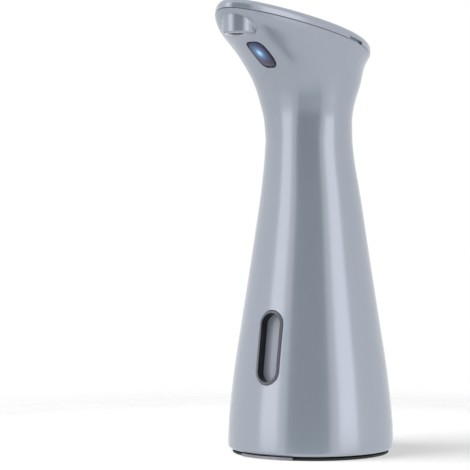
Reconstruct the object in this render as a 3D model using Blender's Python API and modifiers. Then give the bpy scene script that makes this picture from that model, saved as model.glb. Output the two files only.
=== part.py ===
"""Automatic soap dispenser with a goose-neck housing, one object for each piece.

Metres, +Z up. The nose points along -Y. The origin is on the floor, on the axis of the base.
The housing is a loft: round sections up to the waist, then egg-shaped ones that fan over
until they lie in the sloping plane of the lid's seam.
"""

import math

import bmesh
import bpy
from mathutils import Vector

# General clearances
GAP = 0.0003
OVERRUN = 0.004
MERGE = 0.00001

# Housing
BASE_RADIUS = 0.0356
BASE_EDGE = 0.0017
BASE_ROUND = 0.0016
WAIST_RADIUS = 0.01873
WAIST_HEIGHT = 0.134
SEAM_HEIGHT = 0.1727
SEAM_TILT = math.radians(11.2)
TILT_START = 0.124
NECK_LEAN = 0.00115
LEAN_START = 0.106
NOSE_REACH = 0.0615
HEAD_REAR = 0.02405
HEAD_HALF_WIDTH = 0.0265
HEAD_EGG = 0.32
WALL = 0.0022
HOUSING_SEGMENTS = 32

# Places up the skirt and up the head, each with its share of the way to the far size
SKIRT_SHARES = ((0, 1), (0.06, 0.994), (0.23, 0.874), (0.42, 0.652), (0.605, 0.424),
                (0.755, 0.247), (0.87, 0.112), (0.94, 0.04), (1, 0))
HEAD_FRONT_SHARES = ((0, 0), (0.2, 0.007), (0.4, 0.051), (0.52, 0.112), (0.6, 0.184), (0.66, 0.27),
                     (0.71, 0.366), (0.76, 0.481), (0.81, 0.606), (0.86, 0.733), (0.91, 0.852), (0.96, 0.946),
                     (1, 1))
HEAD_REAR_SHARES = ((0, 0), (0.25, 0.011), (0.5, 0.126), (0.7, 0.374), (0.85, 0.693), (0.93, 0.856), (1, 1))
HEAD_WIDTH_SHARES = ((0, 0), (0.2, 0.045), (0.4, 0.24), (0.55, 0.416), (0.7, 0.59), (0.85, 0.717),
                     (0.93, 0.838), (1, 1))
HEAD_EGG_FRONT_SHARES = ((0, 0), (0.3, -0.132), (0.5, -0.12), (0.62, -0.041), (0.72, 0.236), (0.82, 0.539),
                         (0.91, 0.457), (1, 1))
HEAD_EGG_REAR_SHARES = ((0, 0), (0.35, -0.245), (0.7, 0.408), (1, 1))
SKIRT_RING_SHARES = (0.1, 0.28, 0.48, 0.68, 0.8, 0.88, 0.945)
HEAD_RING_SHARES = (0, 0.22, 0.42, 0.55, 0.65, 0.73, 0.8, 0.87, 0.935, 1)

# Spout boss and nozzle
BOSS_RADIUS = 0.0069
BOSS_INSET = 0.0093
BOSS_BOTTOM = 0.1751
NOZZLE_SHIFT = 0.0016
NOZZLE_BORE_RADIUS = 0.0033
NOZZLE_POCKET_RADIUS = 0.0052
NOZZLE_POCKET_SHIFT = 0.0006
NOZZLE_FLANGE = 0.0011
NOZZLE_TIP_RADIUS = 0.0026
NOZZLE_RISE = 0.0030
NOZZLE_SEAT = 0.0010
NOZZLE_FLANGE_RADIUS = 0.0037
NOZZLE_HOLE_RADIUS = 0.0021
VALVE_LENGTH = 0.0026
VALVE_WALL = 0.0005
VALVE_SLIT = 0.0004

# Delivery tube and its nipples
TUBE_RADIUS = 0.0018
TUBE_WALL = 0.00045
NIPPLE_LENGTH = 0.0022
PUMP_LEAD = 0.0022
NOZZLE_LEAD = 0.0020
TUBE_POINTS = 47
CHANNEL_TUBE_SHARE = 0.46
CHANNEL_HEIGHTS = (0.068, 0.092, 0.116, 0.139)
TUBE_BEND = [(0.0017, 0.0278, 0.0242), (0.0016, 0.0287, 0.0266), (0.0013, 0.0289, 0.0302),
             (0.0016, 0.0280, 0.0360), (0.0022, 0.0260, 0.0460), (0.0018, 0.0242, 0.0570)]
TUBE_HEAD_ROUTE = [(-0.0030, 0.0127, 0.1470), (-0.0085, 0.0112, 0.1530), (-0.0140, 0.0045, 0.1580),
                   (-0.0160, -0.0040, 0.1618), (-0.0148, -0.0140, 0.1658), (-0.0122, -0.0240, 0.1698),
                   (-0.0100, -0.0330, 0.1740), (-0.0088, -0.0385, 0.1762), (-0.0058, -0.0425, 0.1774),
                   (-0.0018, -0.0452, 0.1780)]
LOOM_RADIUS = 0.0008
LOOM_POINTS = 36
LOOM_TURN = math.radians(20)
LOOM_BEND = [(0.0125, 0.0146, 0.0550), (0.0118, 0.0182, 0.0586), (0.0096, 0.0212, 0.0625)]
LOOM_HEAD_ROUTE = [(0.0075, 0.0107, 0.1480), (0.0120, 0.0065, 0.1550), (0.0142, -0.0020, 0.1600),
                   (0.0125, -0.0130, 0.1640), (0.0085, -0.0205, 0.1672), (0.0028, -0.0261, 0.1688)]

# Head deck, ledge and screws
DECK_RECESS = 0.0005
DECK_THICKNESS = 0.0010
LEDGE_WIDTH = 0.0014
HEAD_FLARE = 0.0017
LEDGE_THICKNESS = 0.0015
LEDGE_REACH = 0.033
SCREW_RADIUS = 0.0008
SCREW_HEAD_RADIUS = 0.0016
SCREW_HEAD_HEIGHT = 0.0008
SCREW_LENGTH = 0.0036
SCREW_BOSS_RADIUS = 0.0021
SCREW_INSET = 0.0062
DECK_SCREW_ANGLES = (math.radians(79), math.radians(128), math.radians(-128), math.radians(-79))

# Lid, plug and button
LID_EDGE_HEIGHT = 0.0036
LID_ROUND = 0.0026
LID_DOME = 0.0009
LID_WALL = 0.0015
LID_RIM = 0.0022
LID_ROUND_STEPS = 4
LID_DOME_SHARES = (0.8, 0.55, 0.28)
NOTCH_REACH = 0.0068
NOTCH_LENGTH = 0.0098
NOTCH_HEIGHT = 0.0012
NOTCH_DEPTH = 0.0014
BUTTON_INSET = 0.0118
BUTTON_RADIUS = 0.0050
BUTTON_FLANGE = 0.0008
BUTTON_FLANGE_THICKNESS = 0.0006
BUTTON_DOME = 0.0008
BUTTON_TRAVEL = 0.0006

# Sensor
LENS_REACH = 0.0360
LENS_HEIGHT = 0.1682
LENS_SLOPE = math.radians(32)
LENS_HALF_LENGTH = 0.0093
LENS_HALF_WIDTH = 0.0042
LENS_POWER = 0.66
LENS_THICKNESS = 0.0014
LENS_LEDGE = 0.0010
LED_RADIUS = 0.0015
LED_LENGTH = 0.0026
LED_SPACING = 0.0051
BOARD_THICKNESS = 0.0010
SENSOR_BOARD_LENGTH = 0.0146
SENSOR_BOARD_WIDTH = 0.0072
SWITCH_BOARD_SIZE = 0.0092
SWITCH_SIZE = 0.0060

# Level window
WINDOW_HEIGHT = 0.0463
WINDOW_LENGTH = 0.0314
WINDOW_WIDTH = 0.0115
WINDOW_RIM = 0.0010
WINDOW_RECESS = 0.0007
WINDOW_DEPTH = 0.0040
PANE_THICKNESS = 0.0014

# Tank
TANK_WALL = 0.0012
TANK_CLEARANCE = 0.0004
TANK_CHANNEL = 0.0054
TANK_NECK_RADIUS = 0.0112
TANK_SHOULDER = 0.143
TANK_SHOULDER_RISE = 0.004
TANK_RING_SHARES = (0, 0.3, 0.55, 0.72, 0.82, 0.92, 1)
TANK_SEGMENTS = 28
PUMP_POCKET_FRONT = 0.0034
PUMP_POCKET_TOP = 0.0645
PLUG_DEPTH = 0.0032
PLUG_WALL = 0.0016
PLUG_TOP = 0.0009
PLUG_BOSS_RADIUS = 0.0050
SEAL_THICKNESS = 0.0011
SEAL_OVERHANG = 0.0008

# Batteries and their holder
CELL_RADIUS = 0.00525
CELL_LENGTH = 0.0445
CELL_PITCH = 0.0110
CELL_COUNT = 4
CELL_TIP_RADIUS = 0.0019
CELL_TIP_LENGTH = 0.0008
CELL_CLEARANCE = 0.0003
CELL_BOTTOM = 0.0056
HOLDER_PLATE = 0.0016
HOLDER_CLEARANCE = 0.0004
HOLDER_RIB = 0.0012
HOLDER_RIB_DEPTH = 0.0028
HOLDER_END_WALL = 0.0012
HOLDER_END_WIDTH = 0.0350
CONTACT_ROOM = 0.0026
CONTACT_THICKNESS = 0.0003
SPRING_WIRE = 0.00022
SPRING_RADIUS = 0.0032
SPRING_TIP_SHARE = 0.5
SPRING_TURNS = 2
SPRING_TURN_POINTS = 9

# Base cap, bayonet and foot
CAP_PLATE = 0.0014
CAP_INSET = 0.0041
CAP_SKIRT_WALL = 0.0015
CAP_SKIRT_HEIGHT = 0.0022
CAP_TAB_HALF_ANGLE = math.radians(21.5)
CAP_TAB_LIFT = 0.0003
TAB_ROOT_SHARE = 0.95
LUG_HEIGHT = 0.0014
LUG_REACH = 0.0016
LUG_HALF_ANGLE = math.radians(14)
LUG_COUNT = 3
LIP_HEIGHT = 0.0014
LIP_GAP_HALF_ANGLE = math.radians(16)
CAP_TWIST = math.radians(40)
PAD_INSET = 0.0020
PAD_THICKNESS = 0.0010
FOAM_WIDTH_SHARE = 0.8

# Pump, gears and motor
PUMP_CENTRE_Y = 0.0142
DRIVE_X = 0.00625
PUMP_TEETH = 9
PUMP_MODULE = 0.0010
PINION_TEETH = 10
WHEEL_TEETH = 30
TRAIN_MODULE = 0.0006
PRESSURE_ANGLE = math.radians(25)
ADDENDUM_SHARE = 0.8
DEDENDUM_SHARE = 1.1
PUMP_BACKLASH = 0.00020
TRAIN_BACKLASH = 0.00012
PUMP_TIP_CLEARANCE = 0.0002
FLANK_STEPS = 2
PUMP_WALL = 0.0020
PUMP_FLANGE_RADIUS = 0.0088
PUMP_FLANGE_LEFT = -0.0080
PUMP_FLANGE_RIGHT = 0.0135
PUMP_GEAR_WIDTH = 0.0054
PORT_BORE_RADIUS = 0.0006
SHAFT_RADIUS = 0.0015
PIN_RADIUS = 0.0012
BEARING_DEPTH = 0.0012
WHEEL_WIDTH = 0.0026
MOUNT_THICKNESS = 0.0016
MOUNT_POST_RADIUS = 0.0019
MOUNT_POST_INSET = 0.0028
MOTOR_RADIUS = 0.0100
MOTOR_LENGTH = 0.0215
MOTOR_CAP_LENGTH = 0.0034
MOTOR_CAP_RADIUS = 0.0094
MOTOR_NOSE_RADIUS = 0.0032
MOTOR_SHAFT_RADIUS = 0.0010
MOTOR_SHAFT_DEPTH = 0.0140
CONTROL_BOARD_X = 0.0122
CONTROL_BOARD_WIDTH = 0.0140
CONTROL_BOARD_HEIGHT = 0.0180
CHIP_SIZE = 0.0060
CHIP_HEIGHT = 0.0012
CHIP_PLACE_SHARES = (0.3, 0.72)
MOTOR_ROUND = 0.0008
TERMINAL_WIDTH = 0.0020
TERMINAL_THICKNESS = 0.0005
TERMINAL_HEIGHT = 0.0016
LONG_SCREW_RADIUS = 0.0009
GROMMET_WALL = 0.0006
GROMMET_FLANGE = 0.0007
GROMMET_LIP = 0.0008
STRAINER_LENGTH = 0.0046
STRAINER_WALL = 0.0008
STRAINER_OVERLAP = 0.0016
STRAINER_SLOT = 0.0008
INLET_RADIUS = 0.0019
INLET_BORE_RADIUS = 0.0012

# Sizes that follow from those above
BOSS_REACH = NOSE_REACH - BOSS_INSET
NOZZLE_REACH = BOSS_REACH + NOZZLE_SHIFT
NOZZLE_POCKET_REACH = BOSS_REACH + NOZZLE_POCKET_SHIFT
BUTTON_REACH = NOSE_REACH - BUTTON_INSET
CAP_SKIRT_RADIUS = BASE_RADIUS - CAP_INSET
CAP_TAB_RADIUS = BASE_RADIUS - GAP
PAD_RADIUS = BASE_RADIUS - PAD_INSET
DECK_TOP = -DECK_RECESS
DECK_BOTTOM = DECK_TOP - DECK_THICKNESS
NECK_CENTRE_Y = (TANK_CLEARANCE - TANK_CHANNEL) / 2
FILL_RADIUS = TANK_NECK_RADIUS - TANK_WALL
CELL_CENTRE = CELL_BOTTOM + CELL_RADIUS
HOLDER_BOTTOM = CELL_BOTTOM + 2 * CELL_RADIUS + CELL_CLEARANCE
HOLDER_TOP = HOLDER_BOTTOM + HOLDER_PLATE
TANK_BOTTOM = HOLDER_TOP + GAP
PUMP_BOTTOM = HOLDER_TOP + GAP
PUMP_PITCH_RADIUS = PUMP_TEETH * PUMP_MODULE / 2
PUMP_TIP_RADIUS = PUMP_PITCH_RADIUS + ADDENDUM_SHARE * PUMP_MODULE
IDLER_X = DRIVE_X - 2 * PUMP_PITCH_RADIUS
PINION_PITCH_RADIUS = PINION_TEETH * TRAIN_MODULE / 2
WHEEL_PITCH_RADIUS = WHEEL_TEETH * TRAIN_MODULE / 2
MOTOR_X = DRIVE_X - PINION_PITCH_RADIUS - WHEEL_PITCH_RADIUS
PORT_X = (DRIVE_X + IDLER_X) / 2
CHAMBER_BOTTOM = PUMP_BOTTOM + PUMP_WALL
CHAMBER_TOP = CHAMBER_BOTTOM + PUMP_GEAR_WIDTH + 2 * GAP
PORT_HEIGHT = (CHAMBER_BOTTOM + CHAMBER_TOP) / 2
COVER_BOTTOM = CHAMBER_TOP + GAP
COVER_TOP = COVER_BOTTOM + PUMP_WALL
WHEEL_BOTTOM = COVER_TOP + 2 * GAP
WHEEL_TOP = WHEEL_BOTTOM + WHEEL_WIDTH
MOUNT_BOTTOM = WHEEL_TOP + 3 * GAP
MOUNT_TOP = MOUNT_BOTTOM + MOUNT_THICKNESS
MOTOR_BOTTOM = MOUNT_TOP + GAP
NIPPLE_RADIUS = TUBE_RADIUS - TUBE_WALL - GAP
LONG_SCREW_BOTTOM = CHAMBER_BOTTOM + GAP
LID_CEILING = LID_EDGE_HEIGHT - LID_WALL
BUTTON_BOTTOM = LID_CEILING - GAP - BUTTON_FLANGE_THICKNESS
SWITCH_TOP = BUTTON_BOTTOM - BUTTON_TRAVEL - GAP

# Finishes: colour, roughness, metallic, alpha
FINISHES = {
    "housing_plastic": ((0.40, 0.43, 0.49), 0.28, 0.0, 1.0),
    "dark_plastic": ((0.05, 0.05, 0.06), 0.4, 0.0, 1.0),
    "rim_plastic": ((0.15, 0.15, 0.18), 0.35, 0.0, 1.0),
    "clear_grey": ((0.36, 0.39, 0.43), 0.2, 0.0, 0.8),
    "smoked_lens": ((0.02, 0.02, 0.05), 0.1, 0.0, 1.0),
    "blue_light": ((0.10, 0.35, 0.9), 0.3, 0.0, 1.0),
    "clear_tank": ((0.75, 0.80, 0.84), 0.25, 0.0, 0.5),
    "white_nylon": ((0.82, 0.81, 0.77), 0.5, 0.0, 1.0),
    "black_rubber": ((0.02, 0.02, 0.02), 0.8, 0.0, 1.0),
    "silicone": ((0.75, 0.77, 0.78), 0.6, 0.0, 0.8),
    "steel": ((0.55, 0.55, 0.56), 0.3, 1.0, 1.0),
    "brass": ((0.70, 0.52, 0.22), 0.35, 1.0, 1.0),
    "board_green": ((0.03, 0.20, 0.09), 0.5, 0.0, 1.0),
    "cell_jacket": ((0.10, 0.12, 0.14), 0.35, 0.0, 1.0),
}


def clear_scene():
    """Remove every object of the open scene."""
    for item in list(bpy.data.objects):
        bpy.data.objects.remove(item, do_unlink=True)


def new_collection(name):
    """Return a new collection linked to the scene."""
    collection = bpy.data.collections.new(name)
    bpy.context.scene.collection.children.link(collection)
    return collection


clear_scene()
PARTS = new_collection("automatic_soap_dispenser")
CUTTERS = new_collection("cutters_and_guides")


def material(finish):
    """Return the Principled material of one finish, made once."""
    found = bpy.data.materials.get(finish)
    if found:
        return found
    colour, roughness, metallic, alpha = FINISHES[finish]
    made = bpy.data.materials.new(finish)
    made.use_nodes = True
    shader = made.node_tree.nodes["Principled BSDF"]
    shader.inputs["Base Color"].default_value = (*colour, 1.0)
    shader.inputs["Roughness"].default_value = roughness
    shader.inputs["Metallic"].default_value = metallic
    shader.inputs["Alpha"].default_value = alpha
    made.diffuse_color = (*colour, alpha)
    return made


def frame(name, location, tilt_x=0.0, parent=None):
    """Return an empty that places other objects: a plane's frame or a joint's axis."""
    empty = bpy.data.objects.new(name, None)
    empty.location = location
    empty.rotation_euler = (tilt_x, 0, 0)
    empty.parent = parent
    CUTTERS.objects.link(empty)
    return empty


def place(name, mesh, finish=None, parent=None, location=(0, 0, 0), rotation=(0, 0, 0)):
    """Return an object for a mesh: a part with its finish, or a cutter without one."""
    made = bpy.data.objects.new(name, mesh)
    made.parent = parent
    made.location = location
    made.rotation_euler = rotation
    if finish:
        copy = material(finish).copy()
        copy.name = name + "_finish"
        mesh.materials.append(copy)
        PARTS.objects.link(made)
    else:
        made.hide_render = True
        made.display_type = "WIRE"
        CUTTERS.objects.link(made)
    return made


def mesh_from(name, bm):
    """Return a mesh from a bmesh, with its normals turned out."""
    bmesh.ops.recalc_face_normals(bm, faces=bm.faces)
    mesh = bpy.data.meshes.new(name)
    bm.to_mesh(mesh)
    bm.free()
    mesh.shade_smooth()
    mesh.set_sharp_from_angle(angle=math.radians(35))
    return mesh


def boolean(target, operand, operation):
    """Cut or join one object with another, which then counts as a cutter."""
    step = target.modifiers.new(operand.name, "BOOLEAN")
    step.operation = operation
    step.object = operand
    step.solver = "EXACT"


def cut(target, *operands):
    """Cut each operand out of the target."""
    for operand in operands:
        boolean(target, operand, "DIFFERENCE")


def join(target, *operands):
    """Join each operand to the target."""
    for operand in operands:
        boolean(target, operand, "UNION")


def cylinder(name, radius, bottom, top, x=0.0, y=0.0, sides=24, **placing):
    """Return an upright cylinder between two heights of its frame."""
    bm = bmesh.new()
    bmesh.ops.create_cone(bm, cap_ends=True, segments=sides, radius1=radius, radius2=radius, depth=top - bottom)
    bmesh.ops.translate(bm, verts=bm.verts, vec=(x, y, (top + bottom) / 2))
    return place(name, mesh_from(name, bm), **placing)


def bar(name, radius, start, end, sides=16, **placing):
    """Return a cylinder between two points of its frame."""
    run = Vector(end) - Vector(start)
    bm = bmesh.new()
    bmesh.ops.create_cone(bm, cap_ends=True, segments=sides, radius1=radius, radius2=radius, depth=run.length)
    turn = run.to_track_quat("Z", "Y").to_matrix()
    bmesh.ops.rotate(bm, verts=bm.verts, matrix=turn)
    bmesh.ops.translate(bm, verts=bm.verts, vec=(Vector(start) + Vector(end)) / 2)
    return place(name, mesh_from(name, bm), **placing)


def box(name, lower, upper, **placing):
    """Return a box between two corners of its frame."""
    low, high = Vector(lower), Vector(upper)
    bm = bmesh.new()
    bmesh.ops.create_cube(bm, size=1)
    bmesh.ops.scale(bm, verts=bm.verts, vec=high - low)
    bmesh.ops.translate(bm, verts=bm.verts, vec=(high + low) / 2)
    return place(name, mesh_from(name, bm), **placing)


def plate(name, outlines, bottom, top, **placing):
    """Return a flat plate: the first outline filled, the others left as holes."""
    curve = bpy.data.curves.new(name, "CURVE")
    curve.dimensions = "2D"
    curve.fill_mode = "BOTH"
    curve.extrude = (top - bottom) / 2
    for outline in outlines:
        spline = curve.splines.new("POLY")
        spline.points.add(len(outline) - 1)
        for point, (x, y) in zip(spline.points, outline):
            point.co = (x, y, 0, 1)
        spline.use_cyclic_u = True
    guide = bpy.data.objects.new(name + "_outline", curve)
    CUTTERS.objects.link(guide)
    mesh = bpy.data.meshes.new_from_object(guide.evaluated_get(bpy.context.evaluated_depsgraph_get()))
    bpy.data.objects.remove(guide, do_unlink=True)
    bm = bmesh.new()
    bm.from_mesh(mesh)
    bmesh.ops.remove_doubles(bm, verts=bm.verts, dist=MERGE)
    bmesh.ops.translate(bm, verts=bm.verts, vec=(0, 0, (top + bottom) / 2))
    return place(name, mesh_from(name, bm), **placing)


def turned(name, profile, sides=32, closed=False, **placing):
    """Return a turned shape from (radius, height) points that run down the outer side."""
    mesh = bpy.data.meshes.new(name)
    points = [(radius, 0, height) for radius, height in profile]
    edges = [(i, i + 1) for i in range(len(points) - 1)]
    if closed:
        edges.append((len(points) - 1, 0))
    mesh.from_pydata(points, edges, [])
    made = place(name, mesh, **placing)
    screw = made.modifiers.new("turn", "SCREW")
    screw.steps = sides
    screw.render_steps = sides
    screw.use_merge_vertices = True
    screw.merge_threshold = MERGE
    return made


def loft(name, rings, capped=True, **placing):
    """Return a skin over closed rings of equal count, listed from the bottom up."""
    bm = bmesh.new()
    layers = [[bm.verts.new(point) for point in ring] for ring in rings]
    count = len(layers[0])
    for lower, upper in zip(layers, layers[1:]):
        for i in range(count):
            j = (i + 1) % count
            bm.faces.new((lower[i], lower[j], upper[j], upper[i]))
    if capped:
        bm.faces.new(list(reversed(layers[0])))
        bm.faces.new(layers[-1])
    return place(name, mesh_from(name, bm), **placing)


def smooth_value(shares, place_share):
    """Return the value at a place on the smooth curve through pairs, without overshoot."""
    xs = [pair[0] for pair in shares]
    ys = [pair[1] for pair in shares]
    if place_share <= xs[0]:
        return ys[0]
    if place_share >= xs[-1]:
        return ys[-1]
    widths = [b - a for a, b in zip(xs, xs[1:])]
    rises = [(b - a) / w for a, b, w in zip(ys, ys[1:], widths)]
    slopes = [rises[0]]
    for before, after in zip(rises, rises[1:]):
        slopes.append(2 * before * after / (before + after) if before * after > 0 else 0)
    slopes.append(rises[-1])
    i = max(k for k in range(len(widths)) if xs[k] <= place_share)
    t = (place_share - xs[i]) / widths[i]
    return ((1 + 2 * t) * (1 - t) ** 2 * ys[i] + t * (1 - t) ** 2 * widths[i] * slopes[i]
            + t * t * (3 - 2 * t) * ys[i + 1] + t * t * (t - 1) * widths[i] * slopes[i + 1])


def skirt_radius(height):
    """Return the housing's outer radius between the floor and the waist."""
    share = smooth_value(SKIRT_SHARES, height / WAIST_HEIGHT)
    return WAIST_RADIUS + share * (BASE_RADIUS - WAIST_RADIUS)


def bore_radius(height):
    """Return the housing's inner radius between the floor and the waist."""
    return skirt_radius(height) - WALL


def neck_lean(height):
    """Return how far the neck's middle stands toward the nose, which eases in up to the waist."""
    share = min(max((height - LEAN_START) / (WAIST_HEIGHT - LEAN_START), 0), 1)
    return NECK_LEAN * share * share * (3 - 2 * share)


def section(height):
    """Return front reach, rear reach, half width, and front and rear egg share of the housing's section."""
    if height <= WAIST_HEIGHT:
        radius = skirt_radius(height)
        return radius + neck_lean(height), radius - neck_lean(height), radius, 0.0, 0.0
    share = (height - WAIST_HEIGHT) / (SEAM_HEIGHT - WAIST_HEIGHT)
    near, far = WAIST_RADIUS + NECK_LEAN, WAIST_RADIUS - NECK_LEAN
    front = near + smooth_value(HEAD_FRONT_SHARES, share) * (NOSE_REACH - near)
    rear = far + smooth_value(HEAD_REAR_SHARES, share) * (HEAD_REAR - far)
    width = WAIST_RADIUS + smooth_value(HEAD_WIDTH_SHARES, share) * (HEAD_HALF_WIDTH - WAIST_RADIUS)
    egg_front = HEAD_EGG * smooth_value(HEAD_EGG_FRONT_SHARES, share)
    egg_rear = HEAD_EGG * smooth_value(HEAD_EGG_REAR_SHARES, share)
    return front, rear, width, egg_front, egg_rear


def section_tilt(height):
    """Return the tangent of a section's slope, which eases in up to the seam's."""
    share = min(max((height - TILT_START) / (SEAM_HEIGHT - TILT_START), 0), 1)
    return math.tan(SEAM_TILT * share * share * (3 - 2 * share))


def section_point(height, angle, inset=0.0):
    """Return the point of the housing's skin at an angle from the nose, in plan reach and side."""
    front, rear, width, egg_front, egg_rear = section(height)
    reach = (front - rear) / 2 + ((front + rear) / 2 - inset) * math.cos(angle)
    egg = egg_rear + (egg_front - egg_rear) * ((1 + math.cos(angle)) / 2) ** 2
    side = (width - inset) * math.sin(angle) * (1 - egg * math.cos(angle))
    return reach, side


def circle(radius, x=0.0, y=0.0, count=32):
    """Return a round outline."""
    turns = [2 * math.pi * i / count for i in range(count)]
    return [(x + radius * math.cos(turn), y + radius * math.sin(turn)) for turn in turns]


def stadium(radius, left, right, y, count=10):
    """Return an outline of two half circles joined by straight sides."""
    points = []
    for centre, start in ((right, -math.pi / 2), (left, math.pi / 2)):
        for i in range(count + 1):
            turn = start + math.pi * i / count
            points.append((centre + radius * math.cos(turn), y + radius * math.sin(turn)))
    return points


def slot_outline(width, length, count=10):
    """Return an upright outline with round ends."""
    return [(-y, x) for x, y in stadium(width / 2, -(length - width) / 2, (length - width) / 2, 0, count)]


def sector(inner, outer, half_angle, centre_angle, count=8):
    """Return the outline of a part of a ring."""
    turns = [centre_angle - half_angle + 2 * half_angle * i / count for i in range(count + 1)]
    far = [(outer * math.cos(turn), outer * math.sin(turn)) for turn in turns]
    near = [(inner * math.cos(turn), inner * math.sin(turn)) for turn in reversed(turns)]
    return far + near


def seam_outline(inset, count=HOUSING_SEGMENTS):
    """Return the housing's outline in the plane of the seam, drawn in by an inset."""
    points = []
    for i in range(count):
        reach, side = section_point(SEAM_HEIGHT, 2 * math.pi * i / count)
        points.append(Vector((side, -reach / math.cos(SEAM_TILT))))
    moved = []
    for i, point in enumerate(points):
        run = points[(i + 1) % count] - points[i - 1]
        moved.append(point + inset * Vector((-run.y, run.x)).normalized())
    return [(point.x, point.y) for point in moved]


def gear_outline(teeth, module, backlash, first_tooth):
    """Return an involute gear's outline with one tooth centred on an angle."""
    pitch = teeth * module / 2
    base = pitch * math.cos(PRESSURE_ANGLE)
    tip = pitch + ADDENDUM_SHARE * module
    root = pitch - DEDENDUM_SHARE * module
    start = max(base, root)
    half_pitch_angle = (math.pi * module / 2 - backlash) / 2 / pitch
    involute_pitch = math.tan(PRESSURE_ANGLE) - PRESSURE_ANGLE
    flank = []
    for i in range(FLANK_STEPS + 1):
        radius = start + (tip - start) * i / FLANK_STEPS
        pressure = math.acos(min(base / radius, 1))
        flank.append((radius, half_pitch_angle + involute_pitch - (math.tan(pressure) - pressure)))
    flank.insert(0, (root, flank[0][1]))
    points = []
    for tooth in range(teeth):
        centre = first_tooth + 2 * math.pi * tooth / teeth
        sides = [(radius, centre - angle) for radius, angle in flank]
        sides += [(radius, centre + angle) for radius, angle in reversed(flank)]
        points += [(radius * math.cos(turn), radius * math.sin(turn)) for radius, turn in sides]
    return points


# Frames
HEAD = frame("head_frame", (0, 0, SEAM_HEIGHT), -SEAM_TILT)
LENS = frame("lens_frame", (0, -LENS_REACH, LENS_HEIGHT), -LENS_SLOPE)
WINDOW_RUN = skirt_radius(WINDOW_HEIGHT - WINDOW_LENGTH / 2) - skirt_radius(WINDOW_HEIGHT + WINDOW_LENGTH / 2)
WINDOW_LEAN = math.atan2(WINDOW_RUN, WINDOW_LENGTH)
WINDOW = frame("window_frame", (0, -skirt_radius(WINDOW_HEIGHT), WINDOW_HEIGHT), math.pi / 2 - WINDOW_LEAN)


def base_inset(height):
    """Return how far the rounded lower edge of the housing is drawn in at a height."""
    rise = min(max(height - BASE_EDGE, 0), BASE_ROUND)
    return BASE_ROUND - math.sqrt(BASE_ROUND ** 2 - (BASE_ROUND - rise) ** 2)


def housing_ring(height, inset=0.0):
    """Return one ring of the housing's skin as points."""
    ring = []
    for i in range(HOUSING_SEGMENTS):
        reach, side = section_point(min(height, SEAM_HEIGHT), 2 * math.pi * i / HOUSING_SEGMENTS, inset)
        ring.append((side, -reach, height + reach * section_tilt(height)))
    return ring


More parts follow.
